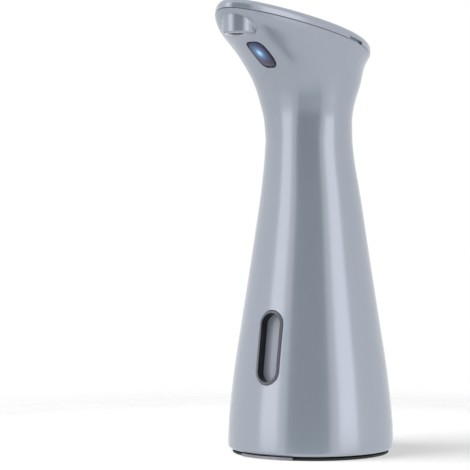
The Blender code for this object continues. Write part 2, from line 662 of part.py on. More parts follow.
def body_shell():
    """The goose-neck housing: a lofted skin, walled inward, with its openings."""
    edge_steps = (0, 0.3, 1)
    rings = [housing_ring(BASE_EDGE - WALL, BASE_ROUND)]
    rings += [housing_ring(BASE_EDGE + BASE_ROUND * step, base_inset(BASE_EDGE + BASE_ROUND * step))
              for step in edge_steps]
    rings += [housing_ring(WAIST_HEIGHT * share) for share in SKIRT_RING_SHARES]
    head_rise = SEAM_HEIGHT - WAIST_HEIGHT
    rings += [housing_ring(WAIST_HEIGHT + head_rise * share) for share in HEAD_RING_SHARES]
    rings.append(housing_ring(SEAM_HEIGHT + WALL))
    shell = loft("body_shell", rings, capped=False, finish="housing_plastic")
    walls = shell.modifiers.new("wall", "SOLIDIFY")
    walls.thickness = WALL
    walls.offset = -1
    walls.use_even_offset = True

    boss = cylinder("spout_boss", BOSS_RADIUS, BOSS_BOTTOM, SEAM_HEIGHT + NOSE_REACH * math.tan(SEAM_TILT),
                    y=-BOSS_REACH)
    back = BOSS_RADIUS + WALL - BOSS_REACH
    front_turns = [math.pi * (1 + i / 12) for i in range(13)]
    outline = [(NOZZLE_POCKET_RADIUS * math.cos(turn), NOZZLE_POCKET_RADIUS * math.sin(turn) - NOZZLE_POCKET_REACH)
               for turn in front_turns] + [(NOZZLE_POCKET_RADIUS, back), (-NOZZLE_POCKET_RADIUS, back)]
    pocket = plate("nozzle_pocket", [outline], BOSS_BOTTOM + NOZZLE_SEAT, SEAM_HEIGHT + NOSE_REACH)
    bore = cylinder("nozzle_bore", NOZZLE_BORE_RADIUS, BOSS_BOTTOM - OVERRUN, BOSS_BOTTOM + WALL + OVERRUN,
                    y=-NOZZLE_REACH)
    trough = wire("tube_trough", tube_route(), TUBE_RADIUS + GAP, resolution=2)
    join(shell, boss)
    cut(shell, pocket, bore, trough)

    reach = NOSE_REACH + OVERRUN
    cut(shell, box("seam_cut", (-reach, -2 * reach, 0), (reach, reach, reach), parent=HEAD))
    cut(shell, box("floor_cut", (-reach, -reach, -reach), (reach, reach, BASE_EDGE)))

    ledge_top = DECK_BOTTOM - 2 * GAP
    ledge_bottom = ledge_top - LEDGE_THICKNESS
    ledge = plate("deck_ledge", [seam_outline(HEAD_FLARE + WALL / 3), seam_outline(WALL + HEAD_FLARE + LEDGE_WIDTH)],
                  ledge_bottom, ledge_top, parent=HEAD)
    cut(ledge, box("ledge_front", (-reach, -2 * reach, -reach), (reach, -LEDGE_REACH, reach), parent=HEAD))
    for i, (x, y) in enumerate(deck_screw_places()):
        join(ledge, cylinder(f"deck_boss_{i + 1}", SCREW_BOSS_RADIUS, ledge_bottom - WALL / 2,
                             DECK_BOTTOM - 3 * GAP / 2, x, y, sides=16, parent=HEAD))
    cut(shell, plate("deck_room", [seam_outline(WALL + HEAD_FLARE - GAP)], DECK_BOTTOM - GAP, OVERRUN, parent=HEAD))
    join(shell, ledge)
    for i, (x, y) in enumerate(deck_screw_places()):
        cut(shell, cylinder(f"deck_pilot_{i + 1}", SCREW_RADIUS + GAP, DECK_TOP - SCREW_LENGTH + GAP, reach,
                            x, y, sides=12, parent=HEAD))

    lip_top = BASE_EDGE + LIP_HEIGHT
    lug_path = CAP_SKIRT_RADIUS + LUG_REACH + GAP
    cut(shell, cylinder("lug_room", lug_path, lip_top, lip_top + LUG_HEIGHT + WALL, sides=HOUSING_SEGMENTS))
    lip = plate("bayonet_lip", [circle(lug_path - base_inset(BASE_EDGE) / 2, count=HOUSING_SEGMENTS),
                                circle(CAP_SKIRT_RADIUS + GAP, count=HOUSING_SEGMENTS)], BASE_EDGE, lip_top + GAP)
    join(shell, lip)
    cut(shell, cylinder("lip_trim", lug_path, lip_top, lip_top + WALL, sides=HOUSING_SEGMENTS))
    for i in range(LUG_COUNT):
        centre = math.pi / 2 + 2 * math.pi * i / LUG_COUNT - CAP_TWIST
        gate = sector(CAP_SKIRT_RADIUS - WALL, lug_path, LIP_GAP_HALF_ANGLE, centre)
        cut(shell, plate(f"lug_gate_{i + 1}", [gate], BASE_EDGE - OVERRUN, lip_top + LUG_HEIGHT))

    cut(shell, plate("window_hole", [slot_outline(WINDOW_WIDTH, WINDOW_LENGTH)], -WALL - OVERRUN, OVERRUN,
                     parent=WINDOW))
    cut(shell, oval("lens_seat", 0, GAP, LENS_THICKNESS + GAP + OVERRUN, -OVERRUN))
    cut(shell, oval("lens_hole", LENS_LEDGE, GAP, 2 * OVERRUN, -OVERRUN))
    return shell


def oval(name, inset, clearance, height, bottom, **placing):
    """Return an oval pad in the lens frame, between the bottom and the bottom plus the height."""
    outline = [(math.copysign(abs(x) ** LENS_POWER, x) * (LENS_HALF_WIDTH - inset + clearance),
                math.copysign(abs(y) ** LENS_POWER, y) * (LENS_HALF_LENGTH - inset + clearance))
               for x, y in circle(1, count=28)]
    return plate(name, [outline], bottom, bottom + height, parent=LENS, **placing)


def deck_screw_places():
    """Return where the deck's screws stand in the plane of the seam."""
    outline = seam_outline(SCREW_INSET)
    return [outline[round(angle / (2 * math.pi) * HOUSING_SEGMENTS) % HOUSING_SEGMENTS]
            for angle in DECK_SCREW_ANGLES]


def level_window():
    """The level window's dark surround and its grey pane behind it."""
    outer = slot_outline(WINDOW_WIDTH - 2 * GAP, WINDOW_LENGTH - 2 * GAP)
    inner = slot_outline(WINDOW_WIDTH - 2 * GAP - 2 * WINDOW_RIM, WINDOW_LENGTH - 2 * GAP - 2 * WINDOW_RIM)
    plate("window_bezel", [outer, inner], -WINDOW_DEPTH, -WINDOW_RECESS, parent=WINDOW, finish="rim_plastic")
    pane_top = -WINDOW_DEPTH - GAP
    plate("window_pane", [outer], pane_top - PANE_THICKNESS, pane_top, parent=WINDOW, finish="clear_grey")


def sensor():
    """The oval lens under the nose, with its board, sender, receiver and light above it."""
    oval("sensor_lens", 0, 0, LENS_THICKNESS, 0, finish="smoked_lens")
    led_bottom = LENS_THICKNESS + 3 * GAP
    led_top = led_bottom + LED_LENGTH
    for name, side, finish in (("ir_emitter", -1, "smoked_lens"), ("status_led", 0, "blue_light"),
                               ("ir_receiver", 1, "smoked_lens")):
        dome = [(LED_RADIUS * math.sin(turn), led_bottom + LED_RADIUS * (1 - math.cos(turn)))
                for turn in (math.pi / 2, math.pi / 4, 0)]
        turned(name, [(0, led_top), (LED_RADIUS, led_top)] + dome, sides=12, finish=finish, parent=LENS,
               location=(0, side * LED_SPACING, 0))
    board_bottom = led_top + GAP
    box("sensor_board", (-SENSOR_BOARD_WIDTH / 2, -SENSOR_BOARD_LENGTH / 2, board_bottom),
        (SENSOR_BOARD_WIDTH / 2, SENSOR_BOARD_LENGTH / 2, board_bottom + BOARD_THICKNESS),
        finish="board_green", parent=LENS)


def nozzle():
    """The spout's dark tip with its side nipple, and the valve in its mouth."""
    seat = BOSS_BOTTOM + NOZZLE_SEAT + GAP
    top = seat + NOZZLE_FLANGE + NOZZLE_RISE
    tip = cylinder("nozzle_tip", NOZZLE_BORE_RADIUS - GAP, BOSS_BOTTOM, seat + NOZZLE_FLANGE, y=-NOZZLE_REACH,
                   finish="dark_plastic")
    flange = cylinder("nozzle_flange", NOZZLE_FLANGE_RADIUS, seat, seat + NOZZLE_FLANGE, y=-NOZZLE_REACH)
    elbow = cylinder("nozzle_elbow", NOZZLE_TIP_RADIUS, seat, top, y=-NOZZLE_REACH)
    height = nozzle_nipple_height()
    nipple = bar("nozzle_nipple", NIPPLE_RADIUS, (0, -NOZZLE_REACH, height),
                 (0, NOZZLE_FLANGE_RADIUS + NIPPLE_LENGTH - NOZZLE_REACH, height), sides=12)
    join(tip, flange, elbow, nipple)
    mouth_top = BOSS_BOTTOM + VALVE_LENGTH + 2 * GAP
    cut(tip, cylinder("nozzle_mouth", NOZZLE_HOLE_RADIUS, BOSS_BOTTOM - OVERRUN, mouth_top, y=-NOZZLE_REACH),
        cylinder("nozzle_rise_bore", PORT_BORE_RADIUS, BOSS_BOTTOM, height, y=-NOZZLE_REACH, sides=12),
        bar("nozzle_nipple_bore", PORT_BORE_RADIUS, (0, -NOZZLE_REACH, height), (0, 0, height), sides=10))

    radius = NOZZLE_HOLE_RADIUS - GAP
    bottom = BOSS_BOTTOM + GAP
    valve = turned("duckbill_valve", [(radius - VALVE_WALL, bottom + VALVE_LENGTH), (radius, bottom + VALVE_LENGTH),
                                      (radius, bottom + VALVE_LENGTH / 2), (VALVE_WALL * 2, bottom), (0, bottom),
                                      (0, bottom + VALVE_WALL), (VALVE_WALL, bottom + VALVE_WALL),
                                      (radius - VALVE_WALL, bottom + VALVE_LENGTH / 2)],
                   sides=14, closed=True, finish="silicone", location=(0, -NOZZLE_REACH, 0))
    cut(valve, box("valve_slit", (-radius, -VALVE_SLIT / 2, -radius), (radius, VALVE_SLIT / 2, VALVE_WALL * 2),
                   location=(0, -NOZZLE_REACH, bottom)))


def nozzle_nipple_height():
    """Return the height of the nipple that the delivery tube is pushed on."""
    return BOSS_BOTTOM + NOZZLE_SEAT + TUBE_RADIUS + 2 * GAP


def head_deck():
    """The tray under the lid, its screws, and the switch set into it."""
    button_y = -BUTTON_REACH / math.cos(SEAM_TILT)
    half = SWITCH_BOARD_SIZE / 2
    window = [(-half - GAP, button_y - half - GAP), (half + GAP, button_y - half - GAP),
              (half + GAP, button_y + half + GAP), (-half - GAP, button_y + half + GAP)]
    fill = circle(FILL_RADIUS, y=NECK_CENTRE_Y, count=36)
    places = deck_screw_places()
    pilots = [circle(SCREW_RADIUS + GAP, x, y, count=12) for x, y in places]
    plate("head_deck", [seam_outline(WALL + HEAD_FLARE), fill, window] + pilots, DECK_BOTTOM, DECK_TOP, parent=HEAD,
          finish="housing_plastic")
    for i, (x, y) in enumerate(places):
        head = DECK_TOP + GAP + SCREW_HEAD_HEIGHT
        profile = [(0, head), (SCREW_HEAD_RADIUS, head), (SCREW_HEAD_RADIUS, DECK_TOP + GAP),
                   (SCREW_RADIUS, DECK_TOP + GAP), (SCREW_RADIUS, head - SCREW_LENGTH), (0, head - SCREW_LENGTH)]
        turned(f"deck_screw_{i + 1}", profile, sides=8, finish="steel", parent=HEAD, location=(x, y, 0))
    board_top = DECK_BOTTOM + BOARD_THICKNESS
    box("switch_board", (-half, button_y - half, DECK_BOTTOM), (half, button_y + half, board_top),
        finish="board_green", parent=HEAD)
    size = SWITCH_SIZE / 2
    box("tact_switch", (-size, button_y - size, board_top + GAP), (size, button_y + size, SWITCH_TOP),
        finish="dark_plastic", parent=HEAD)
    seal_top = DECK_BOTTOM - GAP
    ring = [(FILL_RADIUS, seal_top), (TANK_NECK_RADIUS + SEAL_OVERHANG, seal_top),
            (TANK_NECK_RADIUS + SEAL_OVERHANG, seal_top - SEAL_THICKNESS), (FILL_RADIUS, seal_top - SEAL_THICKNESS)]
    turned("tank_neck_seal", ring, sides=28, closed=True, finish="black_rubber", parent=HEAD,
           location=(0, NECK_CENTRE_Y, 0))


def tank_rings(wall):
    """Return the tank's rings, drawn in by a wall, from its floor to above its neck."""
    rings = []
    steps = [(TANK_BOTTOM + wall + share * (TANK_SHOULDER - TANK_BOTTOM - wall), None) for share in TANK_RING_SHARES]
    steps += [(TANK_SHOULDER + TANK_SHOULDER_RISE, TANK_NECK_RADIUS), (SEAM_HEIGHT + wall, TANK_NECK_RADIUS)]
    for height, radius in steps:
        centre = NECK_CENTRE_Y
        if radius is None:
            radius = bore_radius(height) - (TANK_CLEARANCE + TANK_CHANNEL) / 2
            centre -= neck_lean(height)
        ring = circle(radius - wall, y=centre, count=TANK_SEGMENTS)
        rings.append([(x, y, height) for x, y in ring])
    return rings


def tank():
    """The see-through tank: a walled loft with pockets for the pump and for the window."""
    made = loft("soap_tank", tank_rings(0), finish="clear_tank")
    space = loft("tank_space", tank_rings(TANK_WALL))
    for part, wall in ((made, 0), (space, TANK_WALL)):
        pump_room = box(f"{part.name}_pump_room", (-BASE_RADIUS, PUMP_POCKET_FRONT - wall, 0),
                        (BASE_RADIUS, BASE_RADIUS, PUMP_POCKET_TOP + wall))
        depth = WINDOW_DEPTH + 2 * GAP + PANE_THICKNESS + wall
        half_width = WINDOW_WIDTH / 2 + GAP + wall
        half_length = WINDOW_LENGTH / 2 + GAP + wall
        window_room = box(f"{part.name}_window_room", (-half_width, -half_length, -depth),
                          (half_width, half_length, OVERRUN), parent=WINDOW)
        cut(part, pump_room, window_room)
    cut(made, space)
    reach = NOSE_REACH
    neck_top = DECK_BOTTOM - 2 * GAP - SEAL_THICKNESS
    cut(made, box("neck_cut", (-reach, -reach, neck_top), (reach, reach, reach), parent=HEAD))
    hole = bar("outlet_hole", INLET_RADIUS + 2 * GAP + GROMMET_WALL,
               (PORT_X, PUMP_POCKET_FRONT + TANK_WALL, PORT_HEIGHT),
               (PORT_X, PUMP_POCKET_FRONT - 2 * TANK_WALL, PORT_HEIGHT), sides=24)
    cut(made, hole)

    inner = INLET_RADIUS + GAP
    groove = inner + GROMMET_WALL
    flange = groove + GROMMET_FLANGE
    near = TANK_WALL / 2 + GAP
    far = near + GROMMET_LIP
    profile = [(inner, far), (flange, far), (flange, near), (groove, near), (groove, -near), (flange, -near),
               (flange, -far), (inner, -far)]
    wall_middle = PUMP_POCKET_FRONT - TANK_WALL / 2
    turned("outlet_grommet", profile, sides=16, closed=True, finish="black_rubber",
           location=(PORT_X, wall_middle, PORT_HEIGHT), rotation=(math.pi / 2, 0, 0))

    outer = inner + STRAINER_WALL
    end = STRAINER_OVERLAP - STRAINER_LENGTH
    strainer = turned("inlet_strainer", [(inner, STRAINER_OVERLAP), (outer, STRAINER_OVERLAP), (outer, end), (0, end),
                                         (0, end + STRAINER_WALL), (inner, end + STRAINER_WALL)],
                      sides=14, closed=True, finish="white_nylon", location=(PORT_X, inlet_end(), PORT_HEIGHT),
                      rotation=(-math.pi / 2, 0, 0))
    half = STRAINER_SLOT / 2
    far = inlet_end() + end + STRAINER_WALL
    cut(strainer,
        box("strainer_slot_1", (PORT_X - half, far, PORT_HEIGHT - 2 * outer),
            (PORT_X + half, inlet_end() - GAP, PORT_HEIGHT + 2 * outer)),
        box("strainer_slot_2", (PORT_X - 2 * outer, far, PORT_HEIGHT - half),
            (PORT_X + 2 * outer, inlet_end() - GAP, PORT_HEIGHT + half)))


def inlet_end():
    """Return how far the pump's inlet reaches into the tank."""
    return PUMP_POCKET_FRONT - TANK_WALL - GROMMET_LIP - 2 * GAP - STRAINER_OVERLAP


def smooth_route(points, count):
    """Return evenly counted points on the smooth curve through a route's own points."""
    marks = [Vector(point) for point in points]
    marks = [2 * marks[0] - marks[1]] + marks + [2 * marks[-1] - marks[-2]]
    spans = len(marks) - 3
    route = []
    for i in range(count):
        place_on = i * spans / (count - 1)
        k = min(int(place_on), spans - 1)
        t = place_on - k
        a, b, c, d = marks[k:k + 4]
        route.append((2 * b + (c - a) * t + (2 * a - 5 * b + 4 * c - d) * t * t
                      + (3 * b - a - 3 * c + d) * t ** 3) / 2)
    return route


def wire(name, route, radius, capped=True, resolution=1, **placing):
    """Return a round wire along a route as a mesh."""
    curve = bpy.data.curves.new(name, "CURVE")
    curve.dimensions = "3D"
    curve.bevel_depth = radius
    curve.bevel_resolution = resolution
    curve.use_fill_caps = capped
    spline = curve.splines.new("POLY")
    spline.points.add(len(route) - 1)
    for point, mark in zip(spline.points, route):
        point.co = (*mark, 1)
    guide = bpy.data.objects.new(name + "_route", curve)
    CUTTERS.objects.link(guide)
    mesh = bpy.data.meshes.new_from_object(guide.evaluated_get(bpy.context.evaluated_depsgraph_get()))
    bpy.data.objects.remove(guide, do_unlink=True)
    bm = bmesh.new()
    bm.from_mesh(mesh)
    bmesh.ops.remove_doubles(bm, verts=bm.verts, dist=MERGE)
    return place(name, mesh_from(name, bm), **placing)


def channel_point(height, turn, room=0.5):
    """Return the middle of the channel behind the tank, at a turn from the rear."""
    wall = bore_radius(height)
    radius = wall - room * (TANK_CLEARANCE + TANK_CHANNEL) * (1 + math.cos(turn)) / 2
    return (radius * math.sin(turn), radius * math.cos(turn) - neck_lean(height), height)


def tube_route():
    """Return the delivery tube's way from the pump's outlet to the nozzle's nipple."""
    start_y = PUMP_CENTRE_Y + PUMP_FLANGE_RADIUS + GAP
    nipple = nozzle_nipple_height()
    end_y = NOZZLE_FLANGE_RADIUS + GAP - NOZZLE_REACH
    rise = [(PORT_X, start_y, PORT_HEIGHT), (PORT_X, start_y + PUMP_LEAD, PORT_HEIGHT)] + TUBE_BEND
    rise += [channel_point(height, 0, CHANNEL_TUBE_SHARE) for height in CHANNEL_HEIGHTS]
    return smooth_route(rise + TUBE_HEAD_ROUTE + [(0, end_y + NOZZLE_LEAD, nipple), (0, end_y, nipple)], TUBE_POINTS)


def tubes():
    """The delivery tube from the pump to the nozzle, and the wires up to the sensor."""
    tube = wire("delivery_tube", tube_route(), TUBE_RADIUS, capped=False, resolution=2, finish="silicone")
    bore = tube.modifiers.new("bore", "SOLIDIFY")
    bore.thickness = TUBE_WALL
    bore.offset = -1
    bore.use_even_offset = True

    board_top = MOUNT_TOP + GAP + CONTROL_BOARD_HEIGHT
    route = [(CONTROL_BOARD_X + BOARD_THICKNESS / 2, PUMP_CENTRE_Y, board_top + 2 * GAP)] + LOOM_BEND
    route += [channel_point(height, LOOM_TURN) for height in CHANNEL_HEIGHTS]
    wire("sensor_loom", smooth_route(route + LOOM_HEAD_ROUTE, LOOM_POINTS), LOOM_RADIUS, finish="dark_plastic")


def screw_places():
    """Return the x of the two long screws that clamp the pump's stack."""
    inset = PUMP_FLANGE_RADIUS - MOUNT_POST_INSET
    return (PUMP_FLANGE_LEFT - inset, PUMP_FLANGE_RIGHT + inset)


def pump():
    """The gear pump's housing, cover, gears, shaft and pin."""
    flange = stadium(PUMP_FLANGE_RADIUS, PUMP_FLANGE_LEFT, PUMP_FLANGE_RIGHT, PUMP_CENTRE_Y)
    housing = plate("pump_housing", [flange], PUMP_BOTTOM, CHAMBER_TOP, finish="white_nylon")
    front = PUMP_CENTRE_Y - PUMP_FLANGE_RADIUS
    rear = PUMP_CENTRE_Y + PUMP_FLANGE_RADIUS
    join(housing,
         bar("inlet_nipple", INLET_RADIUS, (PORT_X, front + PUMP_WALL, PORT_HEIGHT),
             (PORT_X, inlet_end(), PORT_HEIGHT)),
         bar("outlet_nipple", NIPPLE_RADIUS, (PORT_X, rear - PUMP_WALL, PORT_HEIGHT),
             (PORT_X, rear + NIPPLE_LENGTH, PORT_HEIGHT), sides=12))
    chamber_radius = PUMP_TIP_RADIUS + PUMP_TIP_CLEARANCE
    for name, x in (("drive_chamber", DRIVE_X), ("idler_chamber", IDLER_X)):
        cut(housing, cylinder(name, chamber_radius, CHAMBER_BOTTOM, CHAMBER_TOP + OVERRUN, x, PUMP_CENTRE_Y,
                              sides=28))
    cut(housing,
        bar("inlet_bore", INLET_BORE_RADIUS, (PORT_X, inlet_end() - OVERRUN, PORT_HEIGHT),
            (PORT_X, PUMP_CENTRE_Y - PUMP_MODULE, PORT_HEIGHT), sides=12),
        bar("outlet_bore", PORT_BORE_RADIUS, (PORT_X, rear + OVERRUN, PORT_HEIGHT),
            (PORT_X, PUMP_CENTRE_Y + PUMP_MODULE, PORT_HEIGHT), sides=10),
        cylinder("shaft_seat", SHAFT_RADIUS + GAP, CHAMBER_BOTTOM - BEARING_DEPTH, CHAMBER_TOP, DRIVE_X,
                 PUMP_CENTRE_Y, sides=16),
        cylinder("pin_seat", PIN_RADIUS + GAP, CHAMBER_BOTTOM - BEARING_DEPTH, CHAMBER_TOP, IDLER_X,
                 PUMP_CENTRE_Y, sides=16))
    for i, x in enumerate(screw_places()):
        cut(housing, cylinder(f"pump_pilot_{i + 1}", LONG_SCREW_RADIUS + GAP, LONG_SCREW_BOTTOM - GAP,
                              CHAMBER_TOP + OVERRUN, x, PUMP_CENTRE_Y, sides=12))
    holes = [circle(LONG_SCREW_RADIUS + GAP, x, PUMP_CENTRE_Y, count=12) for x in screw_places()]
    holes.append(circle(SHAFT_RADIUS + GAP, DRIVE_X, PUMP_CENTRE_Y, count=16))
    plate("pump_cover", [flange] + holes, COVER_BOTTOM, COVER_TOP, finish="white_nylon")

    drive = frame("drive_axis", (DRIVE_X, PUMP_CENTRE_Y, 0))
    idler = frame("idler_axis", (IDLER_X, PUMP_CENTRE_Y, 0))
    low, high = CHAMBER_BOTTOM + GAP, CHAMBER_TOP - GAP
    plate("pump_drive_gear", [gear_outline(PUMP_TEETH, PUMP_MODULE, PUMP_BACKLASH, math.pi),
                              circle(SHAFT_RADIUS + GAP, count=16)], low, high, parent=drive, finish="steel")
    plate("pump_idler_gear", [gear_outline(PUMP_TEETH, PUMP_MODULE, PUMP_BACKLASH, math.pi / PUMP_TEETH),
                              circle(PIN_RADIUS + GAP, count=16)], low, high, parent=idler, finish="steel")
    cylinder("drive_shaft", SHAFT_RADIUS, CHAMBER_BOTTOM - BEARING_DEPTH + GAP, MOUNT_TOP - GAP, sides=16,
             parent=drive, finish="steel")
    cylinder("idler_pin", PIN_RADIUS, CHAMBER_BOTTOM - BEARING_DEPTH + GAP, CHAMBER_TOP - GAP, IDLER_X,
             PUMP_CENTRE_Y, sides=16, finish="steel")
    plate("reduction_wheel", [gear_outline(WHEEL_TEETH, TRAIN_MODULE, TRAIN_BACKLASH, math.pi),
                              circle(SHAFT_RADIUS + GAP, count=16)], WHEEL_BOTTOM, WHEEL_TOP, parent=drive,
          finish="white_nylon")


def motor():
    """The motor on its mount above the gear train, with its pinion, cap and long screws."""
    flange = stadium(PUMP_FLANGE_RADIUS, PUMP_FLANGE_LEFT, PUMP_FLANGE_RIGHT, PUMP_CENTRE_Y)
    mount = plate("motor_mount", [flange], MOUNT_BOTTOM, MOUNT_TOP, finish="dark_plastic")
    for i, x in enumerate(screw_places()):
        join(mount, cylinder(f"mount_post_{i + 1}", MOUNT_POST_RADIUS, COVER_TOP + GAP, MOUNT_TOP, x, PUMP_CENTRE_Y,
                             sides=20))
    cut(mount,
        cylinder("motor_nose_hole", MOTOR_NOSE_RADIUS + GAP, MOUNT_BOTTOM - OVERRUN, MOUNT_TOP + OVERRUN, MOTOR_X,
                 PUMP_CENTRE_Y),
        cylinder("shaft_hole", SHAFT_RADIUS + GAP, MOUNT_BOTTOM - OVERRUN, MOUNT_TOP + OVERRUN, DRIVE_X,
                 PUMP_CENTRE_Y, sides=16))
    for i, x in enumerate(screw_places()):
        cut(mount, cylinder(f"mount_hole_{i + 1}", LONG_SCREW_RADIUS + GAP, COVER_BOTTOM, MOUNT_TOP + OVERRUN, x,
                            PUMP_CENTRE_Y, sides=12))
        head = MOUNT_TOP - GAP
        seat = head - SCREW_HEAD_HEIGHT
        cut(mount, cylinder(f"screw_sink_{i + 1}", SCREW_HEAD_RADIUS + GAP, seat - GAP, MOUNT_TOP + OVERRUN, x,
                            PUMP_CENTRE_Y, sides=12))
        turned(f"pump_screw_{i + 1}", [(0, head), (SCREW_HEAD_RADIUS, head), (SCREW_HEAD_RADIUS, seat),
                                       (LONG_SCREW_RADIUS, seat), (LONG_SCREW_RADIUS, LONG_SCREW_BOTTOM),
                                       (0, LONG_SCREW_BOTTOM)], sides=8, finish="steel",
               location=(x, PUMP_CENTRE_Y, 0))

    can_top = MOTOR_BOTTOM + MOTOR_LENGTH
    nose_bottom = MOUNT_BOTTOM + GAP
    profile = [(0, can_top), (MOTOR_RADIUS, can_top), (MOTOR_RADIUS, MOTOR_BOTTOM + MOTOR_ROUND),
               (MOTOR_RADIUS - MOTOR_ROUND, MOTOR_BOTTOM), (MOTOR_NOSE_RADIUS, MOTOR_BOTTOM),
               (MOTOR_NOSE_RADIUS, nose_bottom), (0, nose_bottom)]
    can = turned("motor_can", profile, sides=28, finish="steel", location=(MOTOR_X, PUMP_CENTRE_Y, 0))
    cut(can, cylinder("motor_bore", MOTOR_SHAFT_RADIUS + GAP, MOUNT_BOTTOM - OVERRUN,
                      MOTOR_BOTTOM + MOTOR_SHAFT_DEPTH + GAP, MOTOR_X, PUMP_CENTRE_Y, sides=16))
    cap_bottom = can_top + GAP
    cap_top = cap_bottom + MOTOR_CAP_LENGTH
    cap = cylinder("motor_end_cap", MOTOR_CAP_RADIUS, cap_bottom, cap_top, MOTOR_X, PUMP_CENTRE_Y, sides=28,
                   finish="dark_plastic")
    for i, side in enumerate((-1, 1)):
        x = MOTOR_X + side * MOTOR_CAP_RADIUS / 2
        lower = (x - TERMINAL_WIDTH / 2, PUMP_CENTRE_Y - TERMINAL_THICKNESS, cap_bottom)
        upper = (x + TERMINAL_WIDTH / 2, PUMP_CENTRE_Y, cap_top + TERMINAL_HEIGHT)
        join(cap, box(f"motor_terminal_{i + 1}", lower, upper))
    axis = frame("motor_axis", (MOTOR_X, PUMP_CENTRE_Y, 0))
    cylinder("motor_shaft", MOTOR_SHAFT_RADIUS, WHEEL_BOTTOM, MOTOR_BOTTOM + MOTOR_SHAFT_DEPTH, sides=16, parent=axis,
             finish="steel")
    plate("motor_pinion", [gear_outline(PINION_TEETH, TRAIN_MODULE, TRAIN_BACKLASH, math.pi / PINION_TEETH),
                           circle(MOTOR_SHAFT_RADIUS + GAP, count=16)], WHEEL_BOTTOM, WHEEL_TOP, parent=axis,
          finish="brass")

    bottom = MOUNT_TOP + GAP
    middle = PUMP_CENTRE_Y
    face = CONTROL_BOARD_X + BOARD_THICKNESS
    board = box("control_board", (CONTROL_BOARD_X, middle - CONTROL_BOARD_WIDTH / 2, bottom),
                (face, middle + CONTROL_BOARD_WIDTH / 2, bottom + CONTROL_BOARD_HEIGHT), finish="board_green")
    for i, share in enumerate(CHIP_PLACE_SHARES):
        height = bottom + share * CONTROL_BOARD_HEIGHT
        join(board, box(f"chip_{i + 1}", (face - BOARD_THICKNESS / 2, middle - CHIP_SIZE / 2, height - CHIP_SIZE / 2),
                        (face + CHIP_HEIGHT, middle + CHIP_SIZE / 2, height + CHIP_SIZE / 2)))


def battery_bay():
    """The four cells, the holder over them, and their contacts."""
    radius = bore_radius(HOLDER_TOP) - HOLDER_CLEARANCE
    holder = plate("battery_holder", [circle(radius, count=HOUSING_SEGMENTS)], HOLDER_BOTTOM, HOLDER_TOP,
                   finish="dark_plastic")
    rib_run = CELL_LENGTH / 2
    for i in range(CELL_COUNT - 1):
        y = (i - (CELL_COUNT - 2) / 2) * CELL_PITCH
        join(holder, box(f"holder_rib_{i + 1}", (-rib_run, y - HOLDER_RIB / 2, HOLDER_BOTTOM - HOLDER_RIB_DEPTH),
                         (rib_run, y + HOLDER_RIB / 2, HOLDER_BOTTOM + HOLDER_PLATE / 2)))
    wall = CELL_LENGTH / 2 + CONTACT_ROOM
    for i, side in enumerate((-1, 1)):
        xs = sorted((side * wall, side * (wall + HOLDER_END_WALL)))
        join(holder, box(f"holder_end_{i + 1}", (xs[0], -HOLDER_END_WIDTH / 2, CELL_BOTTOM),
                         (xs[1], HOLDER_END_WIDTH / 2, HOLDER_BOTTOM + HOLDER_PLATE / 2)))
        xs = sorted((side * (wall - GAP), side * (wall - GAP - CONTACT_THICKNESS)))
        box(f"contact_plate_{i + 1}", (xs[0], -HOLDER_END_WIDTH / 2, CELL_BOTTOM),
            (xs[1], HOLDER_END_WIDTH / 2, HOLDER_BOTTOM - GAP), finish="steel")
    shift = CONTACT_ROOM - CONTACT_THICKNESS - 2 * GAP
    for i in range(CELL_COUNT):
        side = 1 if i % 2 else -1
        y = (i - (CELL_COUNT - 1) / 2) * CELL_PITCH
        end = CELL_LENGTH / 2 - CELL_TIP_LENGTH
        profile = [(0, CELL_LENGTH / 2), (CELL_TIP_RADIUS, CELL_LENGTH / 2), (CELL_TIP_RADIUS, end),
                   (CELL_RADIUS, end), (CELL_RADIUS, -CELL_LENGTH / 2), (0, -CELL_LENGTH / 2)]
        turned(f"battery_{i + 1}", profile, sides=18, finish="cell_jacket",
               location=(side * shift, y, CELL_CENTRE), rotation=(0, side * math.pi / 2, 0))
        near = side * (shift - CELL_LENGTH / 2 - GAP - SPRING_WIRE)
        far = -side * (wall - CONTACT_THICKNESS - 2 * GAP - SPRING_WIRE)
        count = SPRING_TURNS * SPRING_TURN_POINTS
        coil = []
        for k in range(count + 1):
            share = k / count
            turn = 2 * math.pi * SPRING_TURNS * share
            reach = SPRING_RADIUS * (SPRING_TIP_SHARE + (1 - SPRING_TIP_SHARE) * share)
            coil.append((near + (far - near) * share, y + reach * math.cos(turn),
                         CELL_CENTRE + reach * math.sin(turn)))
        wire(f"contact_spring_{i + 1}", coil, SPRING_WIRE, resolution=0, finish="steel")


